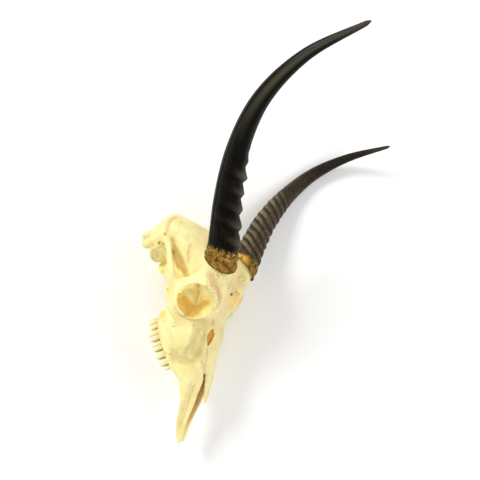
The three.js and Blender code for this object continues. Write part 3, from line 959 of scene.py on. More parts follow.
    def solid(self) -> BoneField:
        """The whole field: what is the same on both sides first, then what differs.

        Returns:
            The field on both sides of the head.
        """
        bone = BoneField.right_half(self.spacing, (64.0, 147.0, 122.0), (-133.0, -30.0))
        for shape, soft in (
            (self.cranium, 2.0),
            (self.forehead, 7.0),
            (self.jaw, 7.0),
            (self.brow, 7.0),
            (self.cheek_arch, 5.0),
            (self.eye_bar, 5.0),
            (self.tooth_ridge, 3.0),
            (self.nose_blade, 3.5),
            (self.nose_floor, 1.5),
            (self.skull_plate, 4.0),
            (self.condyle, 3.0),
            (self.ear_bulb, 3.0),
            (self.ear_process, 3.5),
            (self.ear_canal, 2.5),
        ):
            bone.join(shape, soft)
        self._shape_face(bone)
        bone.join(self.socket.rim(1.4, 2.2, 2.6), 3.0)
        bone.join(self.socket_floor, 3.0)
        bone.carve(self.socket, 1.2)
        bone.carve(self.nose_hollow, 1.5)
        bone.carve(self.spinal_opening, 2.5)
        self._shape_socket(bone)
        self._shape_braincase(bone)
        bone.join(NasalRoof(), 1.2)
        for gap in self.gaps():
            bone.carve(gap, 0.6)
        whole = bone.whole()
        whole.join(self.pedicle_right, 9.0)
        whole.join(self.pedicle_left, 9.0)
        whole.carve(self.left_brow_pit, 3.0)
        whole.carve(self.left_brow_hole, 0.5)
        whole.carve(self.forehead_slit, 0.5)
        return whole

    def gaps(self) -> tuple:
        """The diamond and the slot in the side of the face."""
        diamond = OutlineCut(self.gap_view, (
            (1.4, -10.1), (3.4, -2.7), (0.9, 4.1), (-5.4, 12.0),
            (-4.9, 5.3), (-5.9, -0.8), (-2.6, -6.5),
        ), 4.0, bottom=1.5)
        slot = OutlineCut(self.slot_view, (
            (0.6, -3.2), (2.0, 0.2), (-0.7, 4.6), (-2.2, 1.2),
        ), 3.5, bottom=1.0)
        return diamond, slot

    def bowl(self, depth: float = 25.0, above: float = -5.5) -> OutlineCut:
        """The deep front part of the socket, below the edge of its pale back wall.

        Args:
            depth: how far in it goes from the socket's opening.
            above: how far outside the opening it starts.

        Returns:
            The hollow.
        """
        return OutlineCut(self.socket_view, (
            (-22.6, 0.0), (-18.6, -3.1), (-14.4, -6.1), (-11.0, -5.6), (-8.0, -0.2), (-4.7, 2.2),
            (0.1, 4.1), (7.9, 1.6), (15.7, -1.3), (20.0, -3.6), (16.7, 2.4), (11.2, 8.3),
            (6.6, 14.1), (3.4, 18.2), (-3.7, 21.0), (-12.8, 18.8), (-19.6, 10.0),
        ), depth, above=above, bottom=8.0)

    def _shape_socket(self, bone: BoneField) -> None:
        """The back wall's two plates, the cleft between them, the deep bowl and a slit."""
        see = self.socket_view.place
        back_plate = Lump(see(-9.5, -8.0, 18.5), (4.5, 7.0, 8.0))
        front_plate = Lump(see(11.5, -7.5, 19.0), (4.5, 6.5, 9.5))
        slit = Lump(see(8.8, -4.5, 14.5), (2.0, 0.9, 1.1))
        bone.join(back_plate, 2.5)
        bone.join(front_plate, 2.5)
        cleft = Limb((
            (*see(5.0, -15.5, 13.5), 2.8, 2.8),
            (*see(3.4, -11.5, 15.0), 1.8, 1.8),
            (*see(2.0, -4.0, 16.2), 1.2, 1.2),
            (*see(0.2, 4.5, 17.0), 1.0, 1.0),
        ))
        bone.carve(cleft, 1.4)
        bone.carve(self.bowl(), 0.7)
        bone.carve(slit, 0.4)

    def _shape_face(self, bone: BoneField) -> None:
        """The swelling over the tooth roots, the hollows round it and a nick in the cheek arch."""
        beside_nose = Lump((47, 45, 68), (21, 27, 20))
        before_teeth = Lump((42, 64, 22), (17.5, 14, 16))
        tooth_roots = Lump((29.5, 24.5, 31), (10.4, 21.5, 25.5))
        arch_nick = Lump((55.5, -21.5, 44.2), (2.2, 1.3, 1.5))
        bone.carve(beside_nose, 3.0)
        bone.carve(before_teeth, 5.0)
        bone.join(tooth_roots, 0.5)
        for ridge in (
            ((28.5, 35, 58, 1.3, 1.3), (27.2, 46, 48, 1.9, 1.9), (25.5, 58, 33, 1.3, 1.3)),
            ((33.0, 28, 57, 0.6, 0.6), (30.6, 33, 53, 1.1, 1.1), (28.8, 38, 49.5, 0.7, 0.7)),
        ):
            bone.join(Limb(ridge), 2.6)
        bone.carve(arch_nick, 0.8)

    def _shape_braincase(self, bone: BoneField) -> None:
        """The crest at the back, the ear opening with its ring, and the forms of the base."""
        crest = Limb((
            (25, -114, 61, 1.0, 1.6),
            (32, -107, 55.5, 1.3, 2.0),
            (36, -96, 50, 1.5, 2.2),
        ))
        fold = Limb(((17, -113, 22, 3, 4), (22, -106, 26, 3, 4), (28, -99, 34, 3, 5)))
        bulb_groove = Lump((36, -81.5, 30), (8, 6, 6))
        base_lump = Lump((15.5, -61, 19.8), (3.0, 5, 3.8))
        hole_behind_arch = Lump((27.2, -71.0, 48.2), (4.0, 2.0, 2.6))
        bone.join(crest, 5.0)
        around = np.arange(10) * math.tau / 10
        ear = SightPlane((37.2, -86.3, 39.2))
        ring = [(*ear.place(3.1 * math.cos(a), 3.1 * math.sin(a), -2.2), 1.3, 1.6) for a in around]
        bone.join(Limb(tuple(ring), closed=True, per_span=2), 0.5)
        bone.carve(Limb(((*ear.place(0, 0, -4.5), 2.1, 2.1), (*ear.place(0, 0, -1.6), 1.6, 1.6))), 0.4)
        bone.carve(Lump(ear.place(5.2, 0.3, 0.5), (1.6, 1.6, 1.6)), 0.6)
        bone.join(fold, 4.0)
        bone.carve(bulb_groove, 2.0)
        bone.join(base_lump, 2.0)
        bone.carve(hole_behind_arch, 0.8)

    def relief(self, points: Array) -> tuple:
        """How far the surface is pushed out at each point, and the layers for the finish.

        Formula: broad and fine cell noise, more of the fine one in granular zones, less the
        depth of each seam where exp(-(gap / width)^2) is its profile.

        Args:
            points: (n, 3) points on the surface.

        Returns:
            (n,) millimetres outward, granular share and seam share.
        """
        grain = np.zeros(len(points))
        for line, radius in (
            (((44, -19, 97), (46, -7, 90), (37, 6.6, 90.6), (33, 15, 82)), 7.0),
            (((30, -32, 108), (40, -22, 104), (30, -12, 104), (18, -16, 108)), 13.0),
            (((19, -108, 16), (27, -79, 24)), 13.0),
            (((26, -98, 8), (25, -98, 20)), 9.0),
        ):
            grain = np.maximum(grain, Patch(Tint.STAIN, line, radius, 1.0).cover(points))
        seam = np.zeros(len(points))
        wander = 0.6 * cell_noise(points, 3.0, 77)
        for line, width, on_both in (
            (((0, -30, 107), (0.7, -18, 100), (-0.5, -9, 94), (0.5, 4, 88), (0, 20, 79)), 0.8, False),
            (((0, 20, 79), (0, 50, 62), (0, 80, 44), (0, 108, 25)), 0.8, False),
            (((16.5, 51, 53), (13.5, 60, 48.5), (12.5, 67, 44), (12, 77, 38.5)), 0.9, True),
            (((14.6, 84, 26), (12.5, 98, 12), (11, 108, 4), (9.4, 124, -10)), 0.8, True),
            (((16.5, 84, 19), (14.5, 98, 6), (12, 112, -5)), 0.8, True),
            (((21, 30, 69), (25, 20, 74), (30, 14, 78)), 0.7, True),
            (
                ((34, -68.8, 78), (33.7, -64, 74), (33, -59.5, 70.5), (31.6, -55.5, 69), (31, -50, 66)),
                1.3, True,
            ),
            (((54.5, -34, 56), (56, -40, 52), (55, -46, 50)), 0.7, True),
            (((38.4, 12, 27.5), (40.0, 13.4, 31), (41.2, 14.8, 35)), 1.5, True),
            (((38.6, 16.5, 28), (40.0, 17.6, 32), (41.0, 19, 36)), 1.5, True),
            (((32.5, 40.5, 4), (31.4, 43.5, 9), (29.8, 45.8, 14), (32, 46, 22)), 1.1, True),
            (((27.5, 8, 91), (34, 0, 95), (41, -9, 96.5)), 1.6, True),
            (((24, -106, 30), (30, -99, 36)), 0.8, True),
            (((18, -108, 24), (25, -101, 28)), 0.8, True),
            (((27, -76, 18), (31, -72, 26), (29, -70, 33)), 0.9, True),
        ):
            seen = to_right(points) if on_both else points
            gap = path_distance(seen, curve_through(np.array(line, float), 5))
            seam = np.maximum(seam, np.exp(-(((gap + wander) / width) ** 2)))
        broad = 0.22 * layered_noise(points, 11.0, 5)
        fine = 0.07 * layered_noise(points, 3.2, 15)
        pits = np.minimum(cell_noise(points, 2.6, 25), 0.15)
        return broad + fine + grain * 0.55 * pits - 0.4 * seam, grain, seam

    def patches(self) -> tuple:
        """Every stain and spot on the bone, and every patch of painted shade."""
        return (
            Patch(Tint.BEIGE, (
                (0, -26, 105), (0, 0, 90), (0, 30, 75), (0, 70, 50), (0, 108, 25),
            ), 30.0, 0.85),
            Patch(Tint.PINK, (
                (46, -20, 96), (41.5, -9, 96.5), (34, 0, 95), (27.7, 7.5, 91), (27.5, 12, 86.7),
            ), 6.5, 1.0),
            Patch(Tint.PINK, ((20, -26, 104), (16, -6, 96)), 16.0, 0.5),
            Patch(Tint.STAIN, ((-18.5, 3.5, 92.5), (-15, 8, 89)), 8.0, 1.0, on_both=False),
            Patch(Tint.DEEP, ((-14, -4, 96.5), (-18, -1, 94.5)), 4.0, 0.9, on_both=False),
            # Painted shade in the hole and the slit on the left brow.
            Patch(Tint.DARK, ((-7.9, -2.3, 92.6),), 2.6, 1.0, on_both=False),
            Patch(Tint.DARK, (
                (-1.2, -17.5, 101), (-1.1, -13, 97.6), (-1, -8.5, 93.4),
            ), 1.7, 0.3, on_both=False),
            Patch(Tint.PINK, (
                (25, -115.5, 64), (31, -112, 60.5), (35, -105.5, 57), (37, -100, 54), (38, -93, 51),
            ), 4.5, 0.95),
            Patch(Tint.STAIN, (
                (24.8, -115.5, 64.1), (30.9, -112, 60.6), (35.2, -105.6, 57), (36.8, -99, 53.6),
            ), 1.9, 0.6),
            Patch(Tint.PINK, ((12, -96, 88), (18, -76, 98), (20, -62, 104)), 15.0, 0.6),
            Patch(Tint.RUST, ((38, -94, 49.6),), 2.4, 1.0),
            # The fossa behind the eye: orange stain, deepened toward ochre as painted shade.
            Patch(Tint.STAIN, ((30, -72, 51), (26, -62, 49), (24, -53, 53)), 12.0, 1.0),
            Patch(Tint.DEEP, ((29, -71, 49), (26, -62, 46), (23, -54, 46)), 7.0, 0.8),
            # Painted shade in the hole behind the cheek arch.
            Patch(Tint.DARK, ((28.6, -72, 48.8), (26, -70.2, 46.6)), 2.6, 0.6),
            # Olive patches here are painted shade: under the socket's rim, on the concave face, the ear bulb
            # and grooves.
            Patch(Tint.OLIVE, self._under_rim(), 3.2, 1.0),
            Patch(Tint.OLIVE, ((36, 26, 55), (34.5, 36, 50), (31, 44, 41), (28, 49, 30)), 5.0, 0.8),
            Patch(Tint.STAIN, ((15, -52, 36), (17, -42, 41)), 7.0, 0.7),
            # More of the fossa: orange stain with ochre painted shade.
            Patch(Tint.STAIN, ((24, -50, 53), (24, -40, 56)), 10.0, 1.0),
            Patch(Tint.DEEP, ((22.4, -51, 51), (24, -44, 54)), 6.0, 0.6),
            Patch(Tint.BEIGE, ((34, -69, 77), (32, -55, 69)), 8.0, 0.5),
            Patch(Tint.OLIVE, ((31, 26, 63), (28, 40, 53), (25, 52, 42)), 12.0, 0.9),
            Patch(Tint.OLIVE, ((40, 22, 58), (36, 22, 64)), 7.0, 0.7),
            Patch(Tint.OLIVE, ((31, 50, 14), (27, 56, 24), (24, 62, 34)), 9.0, 0.6),
            Patch(Tint.OLIVE, ((33, -82, 28), (27, -76, 20)), 10.0, 0.9),
            Patch(Tint.OLIVE, ((22, -66, 24),), 8.0, 0.7),
            Patch(Tint.OLIVE, ((15.5, 88, 18), (12.5, 108, -2), (10, 126, -14)), 5.0, 0.5),
            Patch(Tint.GOLD, ((31.5, -4, 14),), 5.0, 1.0),
            Patch(Tint.GOLD, ((55.2, -21.5, 44.2),), 3.0, 0.8),
            Patch(Tint.OLIVE, ((37.0, -86.2, 38.8),), 7.5, 0.9),
            Patch(Tint.STAIN, ((36.6, -86.2, 38.4),), 3.6, 1.0),
            # Painted shade in the pit beside the ear opening.
            Patch(Tint.DARK, ((33.6, -85, 42.2),), 2.4, 0.4),
            Patch(Tint.OLIVE, ((23, -82, 14), (25, -90, 12)), 6.0, 0.6),
            Patch(Tint.STAIN, ((14.5, -110, 6),), 8.0, 0.35),
        )

    def _under_rim(self) -> tuple:
        """The line just below the rim on its nose side, where painted shadow lies."""
        angles = np.radians((-70.0, -40.0, -15.0, 10.0, 35.0, 55.0))
        return tuple(map(tuple, self.socket.rim_point(angles, 4.6)))

    def build(self) -> Piece:
        """Builds the bone, pushes its relief out and writes its layers.

        Returns:
            The bone piece.
        """
        bone = self.solid()
        points, faces = bone.surface()
        faces = outward_faces(points, faces)
        normals = point_normals(points, faces)
        push, grain, seam = self.relief(points)
        layers = {tint.value: np.zeros(len(points)) for tint in Tint}
        for patch in self.patches():
            layer = layers[patch.tint.value]
            layers[patch.tint.value] = np.maximum(layer, patch.cover(points))
        # Painted shade and light: the hollow layer turns concave places toward tan, the other lightens
        # bulges.
        hollow = bone.mean_around(points, 9)
        layers["hollow"] = np.clip(-hollow / self.full_hollow, 0, 1)
        layers["proud"] = np.clip(hollow / self.full_hollow, 0, 1)
        self._colour_nose(points, layers)
        self._colour_socket(points, layers)
        self._colour_gaps(points, layers)
        layers["grain"] = grain
        layers["seam"] = seam
        points = points + normals * push[:, None]
        log.info("skull: %d points, %d faces", len(points), len(faces))
        return make_piece("bone", points, faces.tolist(), layers)

    def _colour_nose(self, points: Array, layers: dict) -> None:
        """Ochre inside the nose and on the inner side of the blades, fading toward the tip."""
        side, along, level = to_right(points).T
        hollow = 1 - soft_step(0.3, 2.0, self.nose_hollow.at(points))
        hollow *= soft_step(-2.0, 1.5, 76.0 - 0.55 * along - level)
        blade = np.array(self.nose_blade.stops)
        middle = np.interp(along, blade[:, 1], blade[:, 0])
        wall = soft_step(0.0, 1.6, middle - side) * soft_step(60.0, 70.0, along)
        wall *= 1 - soft_step(112.0, 138.0, along)
        wall *= soft_step(-1.0, 2.0, 75.0 - 0.5 * along - level)
        layers["deep"] = np.maximum(layers["deep"], np.maximum(hollow, wall) * 0.8)

    def _colour_socket(self, points: Array, layers: dict) -> None:
        """Orange-tan in the eye sockets' bowl and pale plates above it, with painted shadow under the
        upper rim and painted shade in and beside the cleft, but no hollow-layer shade on the plates.

        Args:
            points: (n, 3) points on the surface.
            layers: the layers to colour, changed in place.
        """
        seen = to_right(points)
        right, down, inward = self.socket_view.measure(*seen.T)
        within = 1 - soft_step(0.8, 2.0, self.socket.at(seen))
        bowl = 1 - soft_step(0.2, 1.3, self.bowl(42.0, -2.0).at(seen))
        lower = within * soft_step(1.5, 5.0, down - 1.1 * right - 4.0)
        sunk = 0.72 * np.maximum(bowl, lower) * soft_step(5.0, 7.5, inward)
        plate = within * (1 - bowl) * (1 - soft_step(1.0, 4.0, right))
        # Painted shadow under the socket's upper rim, coloured ochre.
        top = within * soft_step(1.0, 3.0, inward) * (1 - soft_step(6.0, 10.0, inward))
        top *= 1 - soft_step(-15.5, -12.5, down + 0.18 * right)
        flat = np.column_stack([right, down, np.zeros(len(points))])
        cleft = path_distance(flat, np.array([(4.0, -13.5, 0), (3.2, -7.0, 0), (0.2, 3.0, 0)]))
        band = path_distance(flat, np.array([(1.8, -13.5, 0), (0.6, -7.0, 0), (-1.6, 2.0, 0)]))
        shade = within * soft_step(7.0, 9.0, inward)
        # Painted shade: a tan band beside the cleft.
        edge = 0.7 * shade * (1 - soft_step(1.0, 3.0, band))
        # The hollow layer's painted shade is taken off the pale plates.
        layers["hollow"] = layers["hollow"] * (1 - plate)
        layers["deep"] = np.maximum(layers["deep"], 0.8 * top)
        # Painted shade: dark along the cleft.
        layers["dark"] = np.maximum(layers["dark"], 0.36 * shade * (1 - soft_step(0.5, 1.6, cleft)))
        layers["stain"] = np.maximum(layers["stain"], np.maximum(edge, sunk))

    def _colour_gaps(self, points: Array, layers: dict) -> None:
        """Ochre inside the diamond and the slot in the side of the face."""
        seen = to_right(points)
        for gap in self.gaps():
            depth = gap.plane.measure(*seen.T)[2]
            inside = (1 - soft_step(0.2, 1.2, gap.at(seen))) * soft_step(0.2, 2.0, depth)
            layers["stain"] = np.maximum(layers["stain"], inside)
            layers["deep"] = np.maximum(layers["deep"], 0.75 * inside)


@dataclass
class Horn:
    """One horn sheath: a ridged, hooked tube with a shallow socket in its base.

    The outer surface is a grid of rings along the curve; it turns in at the rim and runs up
    inside to the end of the socket, where it closes.
    """

    name: str
    node: str
    path: tuple
    mirror: int
    seed: int
    ridges: float
    ridge_pitch: float
    ridge_height: float
    tilt: float
    low_turn: float
    front_turn: float
    front_power: float
    groove_turn: float
    crackle: float
    flare_turn: float
    first_ridge: float
    tip_blunt: float = 0.015
    base_radius: float = 17.1
    taper: float = 0.88
    rim_normal: tuple = (0.5, -0.38, 0.78)
    core_levels: tuple = (0.0, 0.02, 0.045, 0.07, 0.076)
    core_radii: tuple = (16.4, 15.6, 13.8, 7.0, 2.0)
    flare: float = 2.2
    flare_lean: float = 1.5
    flare_share: float = 0.035
    groove_depth: float = 0.55
    columns: int = 128
    rows: int = 430

    def _frames(self, k: Array) -> tuple:
        """Centres and directions along the horn at shares k of its length.

        Args:
            k: (n,) shares of the length.

        Returns:
            Centres, tangents, across and fore directions, each (n, 3).
        """
        fine = curve_through(np.array(self.path), 80)
        steps = np.linalg.norm(np.diff(fine, axis=0), axis=1)
        share = np.concatenate([[0], np.cumsum(steps)]) / steps.sum()
        centre = np.column_stack([np.interp(k, share, column) for column in fine.T])
        slope = np.gradient(fine, share, axis=0)
        tangent = np.column_stack([np.interp(k, share, column) for column in slope.T])
        tangent /= np.linalg.norm(tangent, axis=1, keepdims=True)
        across = np.cross(tangent, (0, 1, 0))
        across /= np.linalg.norm(across, axis=1, keepdims=True)
        fore = np.cross(across, tangent)
        return centre, tangent, across, fore

    def _radius(self, k: Array) -> Array:
        """Base radius less its taper, with a flare at the rim and a rounded tip."""
        flare = self.flare * np.exp(-k / self.flare_share)
        blunt = np.sqrt(np.clip(1 - k, 0, 1) / self.tip_blunt)
        return (self.base_radius * (1 - self.taper * k**1.35) + flare) * np.minimum(1, blunt)

    def _rings(self, k: Array, radius: Array, push: Array) -> Array:
        """Rings of points around the curve, sliding into the rim's plane near the base.

        Formula: centre + radial * (radius + push) + tangent * slide * (1 - k)^6, where slide
        puts the ring in the plane of the rim.

        Args:
            k: (rows,) shares of the length.
            radius: (rows,) radii.
            push: (rows, columns) relief.

        Returns:
            (rows, columns, 3) points.
        """
        centre, tangent, across, fore = self._frames(k)
        angle = np.arange(self.columns) * math.tau / self.columns
        radial = (
            across[:, None] * np.cos(angle)[None, :, None]
            + fore[:, None] * np.sin(angle)[None, :, None]
        )
        normal = unit((self.mirror * self.rim_normal[0], *self.rim_normal[1:]))
        slide = -(radial @ normal) * radius[:, None] / (tangent @ normal)[:, None]
        slide = slide * ((1 - np.clip(k, 0, 1)) ** 6)[:, None]
        out = radial * (radius[:, None] + push)[..., None]
        return centre[:, None] + out + tangent[:, None] * slide[..., None]

    def _ridges(self, k: Array, wave: Array) -> tuple:
        """How far up its ridge each point is, and how near a ridge's lower edge.

        Formula: a ridge rises at once from its lower edge and falls slowly toward the tip,
        1.5 * step(f / 0.45) * (1 - f), where f is the place between two lower edges. The edges
        slope round the horn by tilt * cos(angle - low_turn), and each ridge has a height of
        its own.

        Args:
            k: (rows, columns) shares of the length.
            wave: (rows, columns) slow noise.

        Returns:
            (rows, columns) heights and (rows, columns) nearness that the finish paints as shade, both from
            zero to one.
        """
        angle = np.arange(self.columns) * math.tau / self.columns
        bent = k + self.tilt * np.cos(angle - self.low_turn) + 0.005 * wave
        phase = (bent - self.first_ridge) / self.ridge_pitch
        number = np.floor(phase)
        part = phase - number
        shape = 1.5 * soft_step(0.0, 0.45, part) * (1 - part)
        zero = np.int64(0)
        own = 0.82 + 0.18 * lattice_value(number.astype(np.int64), zero, zero, self.seed)
        fading = soft_step(-1.2, 0.8, phase) * (1 - soft_step(0.72, 1.12, phase / self.ridges))
        front = (0.5 + 0.5 * np.cos(angle - self.front_turn + 0.3 * wave)) ** self.front_power
        nearness = np.exp(-(((np.mod(part + 0.5, 1) - 0.5) / 0.09) ** 2))
        return shape * own * fading * front * 1.25, nearness * fading * np.minimum(front * 1.5, 1)

    def _relief(self, k: Array) -> tuple:
        """Ridges, lengthwise grooves, crackle, a leaning flare and small unevenness.

        Formula: the ridge height times the ridges, plus noise that changes quickly around
        the horn and slowly along it, plus crusty noise at the base, plus flare_lean *
        exp(-k / flare_share) * cos(angle - flare_turn), less one long groove.

        Args:
            k: (rows,) shares of the length.

        Returns:
            Three (rows, columns) arrays: millimetres outward, the ridges' heights and the
            nearness to their lower edges.
        """
        angle = np.arange(self.columns) * math.tau / self.columns
        k_grid, a_grid = np.meshgrid(k, angle, indexing="ij")
        round_place = np.column_stack([
            (k_grid * 300).ravel(), (17 * np.cos(a_grid)).ravel(), (17 * np.sin(a_grid)).ravel(),
        ])
        shape = k_grid.shape
        wave = cell_noise(round_place, 13.0, self.seed).reshape(shape)
        ridges, step_shades = self._ridges(k_grid, wave)
        along = round_place * np.array([0.05, 1, 1])
        grooves = layered_noise(along, 2.1, self.seed + 3, 2).reshape(shape)
        fibre = 0.2 * grooves * (1 - soft_step(0.3, 0.6, k_grid))
        rough = layered_noise(round_place, 3.0, self.seed + 9, 2).reshape(shape)
        crust = 0.55 * rough * (1 - soft_step(0.035, 0.07, k_grid))
        crackle = self.crackle * layered_noise(round_place, 2.2, self.seed + 13, 2).reshape(shape)
        crackle = crackle * (1 - soft_step(0.25, 0.5, k_grid))
        uneven = 0.25 * cell_noise(round_place, 22.0, self.seed + 5).reshape(shape) * (1 - k_grid)
        turn = np.angle(np.exp(1j * (a_grid - self.groove_turn)))
        groove = self.groove_depth * np.exp(-((turn / 0.1) ** 2))
        groove = groove * soft_step(0.06, 0.12, k_grid) * (1 - soft_step(0.5, 0.8, k_grid))
        raised = self.ridge_height * (1 - 0.5 * k_grid) * ridges
        flare = self.flare_lean * np.exp(-k_grid / self.flare_share) * np.cos(a_grid - self.flare_turn)
        return raised + fibre + crust + crackle + uneven + flare - groove, ridges, step_shades

    def build(self) -> Piece:
        """Builds the sheath.

        Returns:
            The horn piece.
        """
        tip = 1 - self.tip_blunt * np.linspace(0.9, 0.04, 9) ** 1.5
        k = np.concatenate([[0, 0.0015], np.linspace(0.004, 1 - self.tip_blunt, self.rows), tip])
        push, ridges, step_shades = self._relief(k)
        outer = self._rings(k, self._radius(k), push)
        inside_k = np.linspace(0.0, self.core_levels[-1], 14)
        core = np.interp(inside_k, self.core_levels, self.core_radii)
        inner = self._rings(inside_k, core, np.zeros((len(inside_k), self.columns)))
        rings = np.concatenate([inner[::-1], outer])
        points = rings.reshape(-1, 3)
        count = len(rings)
        faces = outward_faces(points, tube_faces(count, self.columns))
        none = np.zeros(len(inner) * self.columns)
        layers = {
            "share": np.concatenate([none, np.repeat(k, self.columns)]),
            "turn": np.tile(np.arange(self.columns) / self.columns, count),
            "ridge": np.concatenate([none, ridges.ravel()]),
            "line": np.concatenate([none, step_shades.ravel()]),
        }
        layers = {name: np.concatenate([values, values[[0, -1]]]) for name, values in layers.items()}
        sides = faces.tolist() + self._fans(count, faces[0][1] != 1).tolist()
        every = np.vstack([points, [rings[0].mean(0), rings[-1].mean(0)]])
        log.info("%s: %d points, %d faces", self.name, len(every), len(sides))
        return make_piece(self.name, every, sides, layers)

    def _fans(self, count: int, flipped: bool) -> Array:
        """The triangles that close both ends around the two last points.

        Args:
            count: how many rings there are.
            flipped: whether the sides were turned over.

        Returns:
            (n, 3) point numbers, turned the way the sides are.
        """
        columns = np.arange(self.columns)
        after = (columns + 1) % self.columns
        total = count * self.columns
        fans = []
        for hub, start, down in ((total, 0, True), (total + 1, total - self.columns, False)):
            pair = (start + after, start + columns)
            if down == flipped:
                pair = pair[::-1]
            fans.append(np.stack([np.full(self.columns, hub), *pair], -1))
        return np.vstack(fans)


@dataclass(frozen=True)
class ToothKind:
    """One kind of cheek tooth: its name, length along the row, width across it and lobes."""

    name: str
    long: float
    wide: float
    lobes: int


@dataclass
class ToothRow:
    """The six cheek teeth on one side, each a ribbed crown in its socket.

    The row's middle bows outward and its biting edge bows down, by the same formulas as the
    solids: x = 28.2 - c (y - 14)^2 and edge = -8.4 + 8 ((y - 30) / 34)^4.
    """

    side: int
    label: str
    kinds: tuple = (
        ToothKind("molar_3", 13.0, 9.4, 2),
        ToothKind("molar_2", 13.6, 12.2, 2),
        ToothKind("molar_1", 11.6, 12.6, 2),
        ToothKind("premolar_4", 9.0, 11.0, 1),
        ToothKind("premolar_3", 8.8, 9.4, 1),
        ToothKind("premolar_2", 5.2, 5.8, 1),
    )
    row_back: float = -2.2
    space: float = 0.25
    root_top: float = 8.0
    rim_rise: float = 1.0
    lean: float = 0.06
    columns: int = 96

    @staticmethod
    def row_x(y: float) -> float:
        """How far from the middle of the head the row is at y."""
        return 28.2 - (0.0034 if y > 14 else 0.0046) * (y - 14) ** 2

    @staticmethod
    def row_edge(y: float) -> float:
        """The level of the biting edge at y."""
        return -8.4 + 8 * ((y - 30) / 34) ** 4

    @staticmethod
    def _outline(kind: ToothKind, angle: Array) -> tuple:
        """The crown's outline across and along the row at angles around its middle."""
        across, along = np.cos(angle), np.sin(angle)
        out_x = (kind.wide / 2 + 0.8) * np.sign(across) * np.abs(across) ** 0.42
        out_y = (kind.long / 2 + 0.1) * np.sign(along) * np.abs(along) ** 0.4
        return out_x, out_y

    def _even_angles(self, kind: ToothKind) -> Array:
        """Angles at which points lie evenly along the crown's outline."""
        angle = np.linspace(0, math.tau, 2001)
        run = np.hypot(*(np.diff(part) for part in self._outline(kind, angle)))
        run = np.concatenate([[0], np.cumsum(run)])
        return np.interp(np.arange(self.columns) / self.columns * run[-1], run, angle)

    def _crown(self, kind: ToothKind, y: float) -> tuple:
        """The crown's grid of points, from the root down over the biting face.

        Formula: the outline is x = (wide / 2 + 0.8) * |cos|^0.42 and y = (long / 2 + 0.1) *
        |sin|^0.4. Its outer side swells at each lobe, with a furrow between two of them, and
        its inner side draws in between the lobes. The biting face falls in from the outline,
        with a crescent ridge around a pit in each lobe.

        Args:
            kind: which tooth.
            y: its middle along the row.

        Returns:
            (rows, columns, 3) points, then the (rows, columns) shares down the crown, which
            pass one on the biting face, and the (rows, columns) strengths of the furrows' painted shade.
        """
        angle = self._even_angles(kind)
        across = np.cos(angle)
        out_x, out_y = self._outline(kind, angle)
        place = out_y / (kind.long / 2)
        rib = np.abs(np.cos((place * kind.lobes + kind.lobes - 1) * math.pi / 2))
        lobe = 0.5 + 0.5 * np.cos(place * math.pi * kind.lobes)
        ribs = np.where(across > 0, rib * 0.7 - 0.45, lobe - 1) * np.abs(across) ** 0.5
        edge = self.row_edge(y)
        biting = edge + self.rim_rise
        rows, shares = [], []
        for share in np.linspace(0, 1, 22):
            z = self.root_top + (biting - self.root_top) * share
            grow = 0.88 + 0.12 * share**0.6
            wave = 0.12 * np.sin(z * 2.1 + place * 2) * np.abs(across)
            ring_x = out_x * grow + ribs * soft_step(0.05, 0.6, share) + wave
            rows.append(np.column_stack([ring_x, out_y * grow, np.full(self.columns, z)]))
            shares.append(share)
        rim = rows[-1]
        for inward in (0.96, 0.88, 0.78, 0.66, 0.52, 0.38, 0.22, 0.08):
            ring = rim * np.array([inward, inward, 1])
            inner = 0.5 * np.cos(ring[:, 1] / kind.long * math.tau * kind.lobes - math.pi)
            fall = math.exp(-(((inward - 0.86) / 0.14) ** 2))
            pit = 1.3 * math.exp(-(((inward - 0.45) / 0.25) ** 2)) * (0.6 + 0.4 * inner)
            ring[:, 2] = biting - fall + pit
            rows.append(ring)
            shares.append(2 - inward)
        grid = np.array(rows)
        grid[..., 0] = self.side * (grid[..., 0] + self.row_x(y) - self.lean * (grid[..., 2] - edge))
        grid[..., 1] += y
        share = np.repeat(np.array(shares)[:, None], self.columns, axis=1)
        # Where the finish paints shade along the furrows.
        furrow = np.where(across > 0.5, np.exp(-((rib / 0.35) ** 2)), 0)
        return grid, share, furrow * (share <= 1)

    def build(self) -> list:
        """Builds every tooth of the row.

        Returns:
            Pairs of a piece and the node that it stands for.
        """
        made = []
        y = self.row_back
        for kind in self.kinds:
            middle = y + kind.long / 2
            y += kind.long + self.space
            crown = self._tooth(f"{kind.name}_crown_{self.label}", *self._crown(kind, middle))
            made.append((crown, f"{kind.name}_{self.label}"))
        return made

    def _tooth(
        self, name: str, grid: Array, shares: Array, furrows: Array
    ) -> Piece:
        """One tooth from its grid, closed at both ends by small fans of quads."""
        total = grid.shape[0] * self.columns
        every = np.vstack([grid.reshape(-1, 3), grid[0].mean(0), grid[-1].mean(0)])
        pairs = np.arange(0, self.columns, 2)
        fans = []
        for hub, start, down in ((total, 0, True), (total + 1, total - self.columns, False)):
            ring = (start + pairs, start + pairs + 1, start + (pairs + 2) % self.columns)
            fans.append(np.stack([np.full(len(pairs), hub), *(ring[::-1] if down else ring)], -1))
        faces = outward_faces(every, np.vstack([tube_faces(len(grid), self.columns), *fans]))
        layers = {
            "share": np.concatenate([shares.ravel(), [0, 2]]),
            "furrow": np.concatenate([furrows.ravel(), [0, 0]]),
        }
        log.info("%s: %d faces", name, len(faces))
        return make_piece(name, every, faces.tolist(), layers)


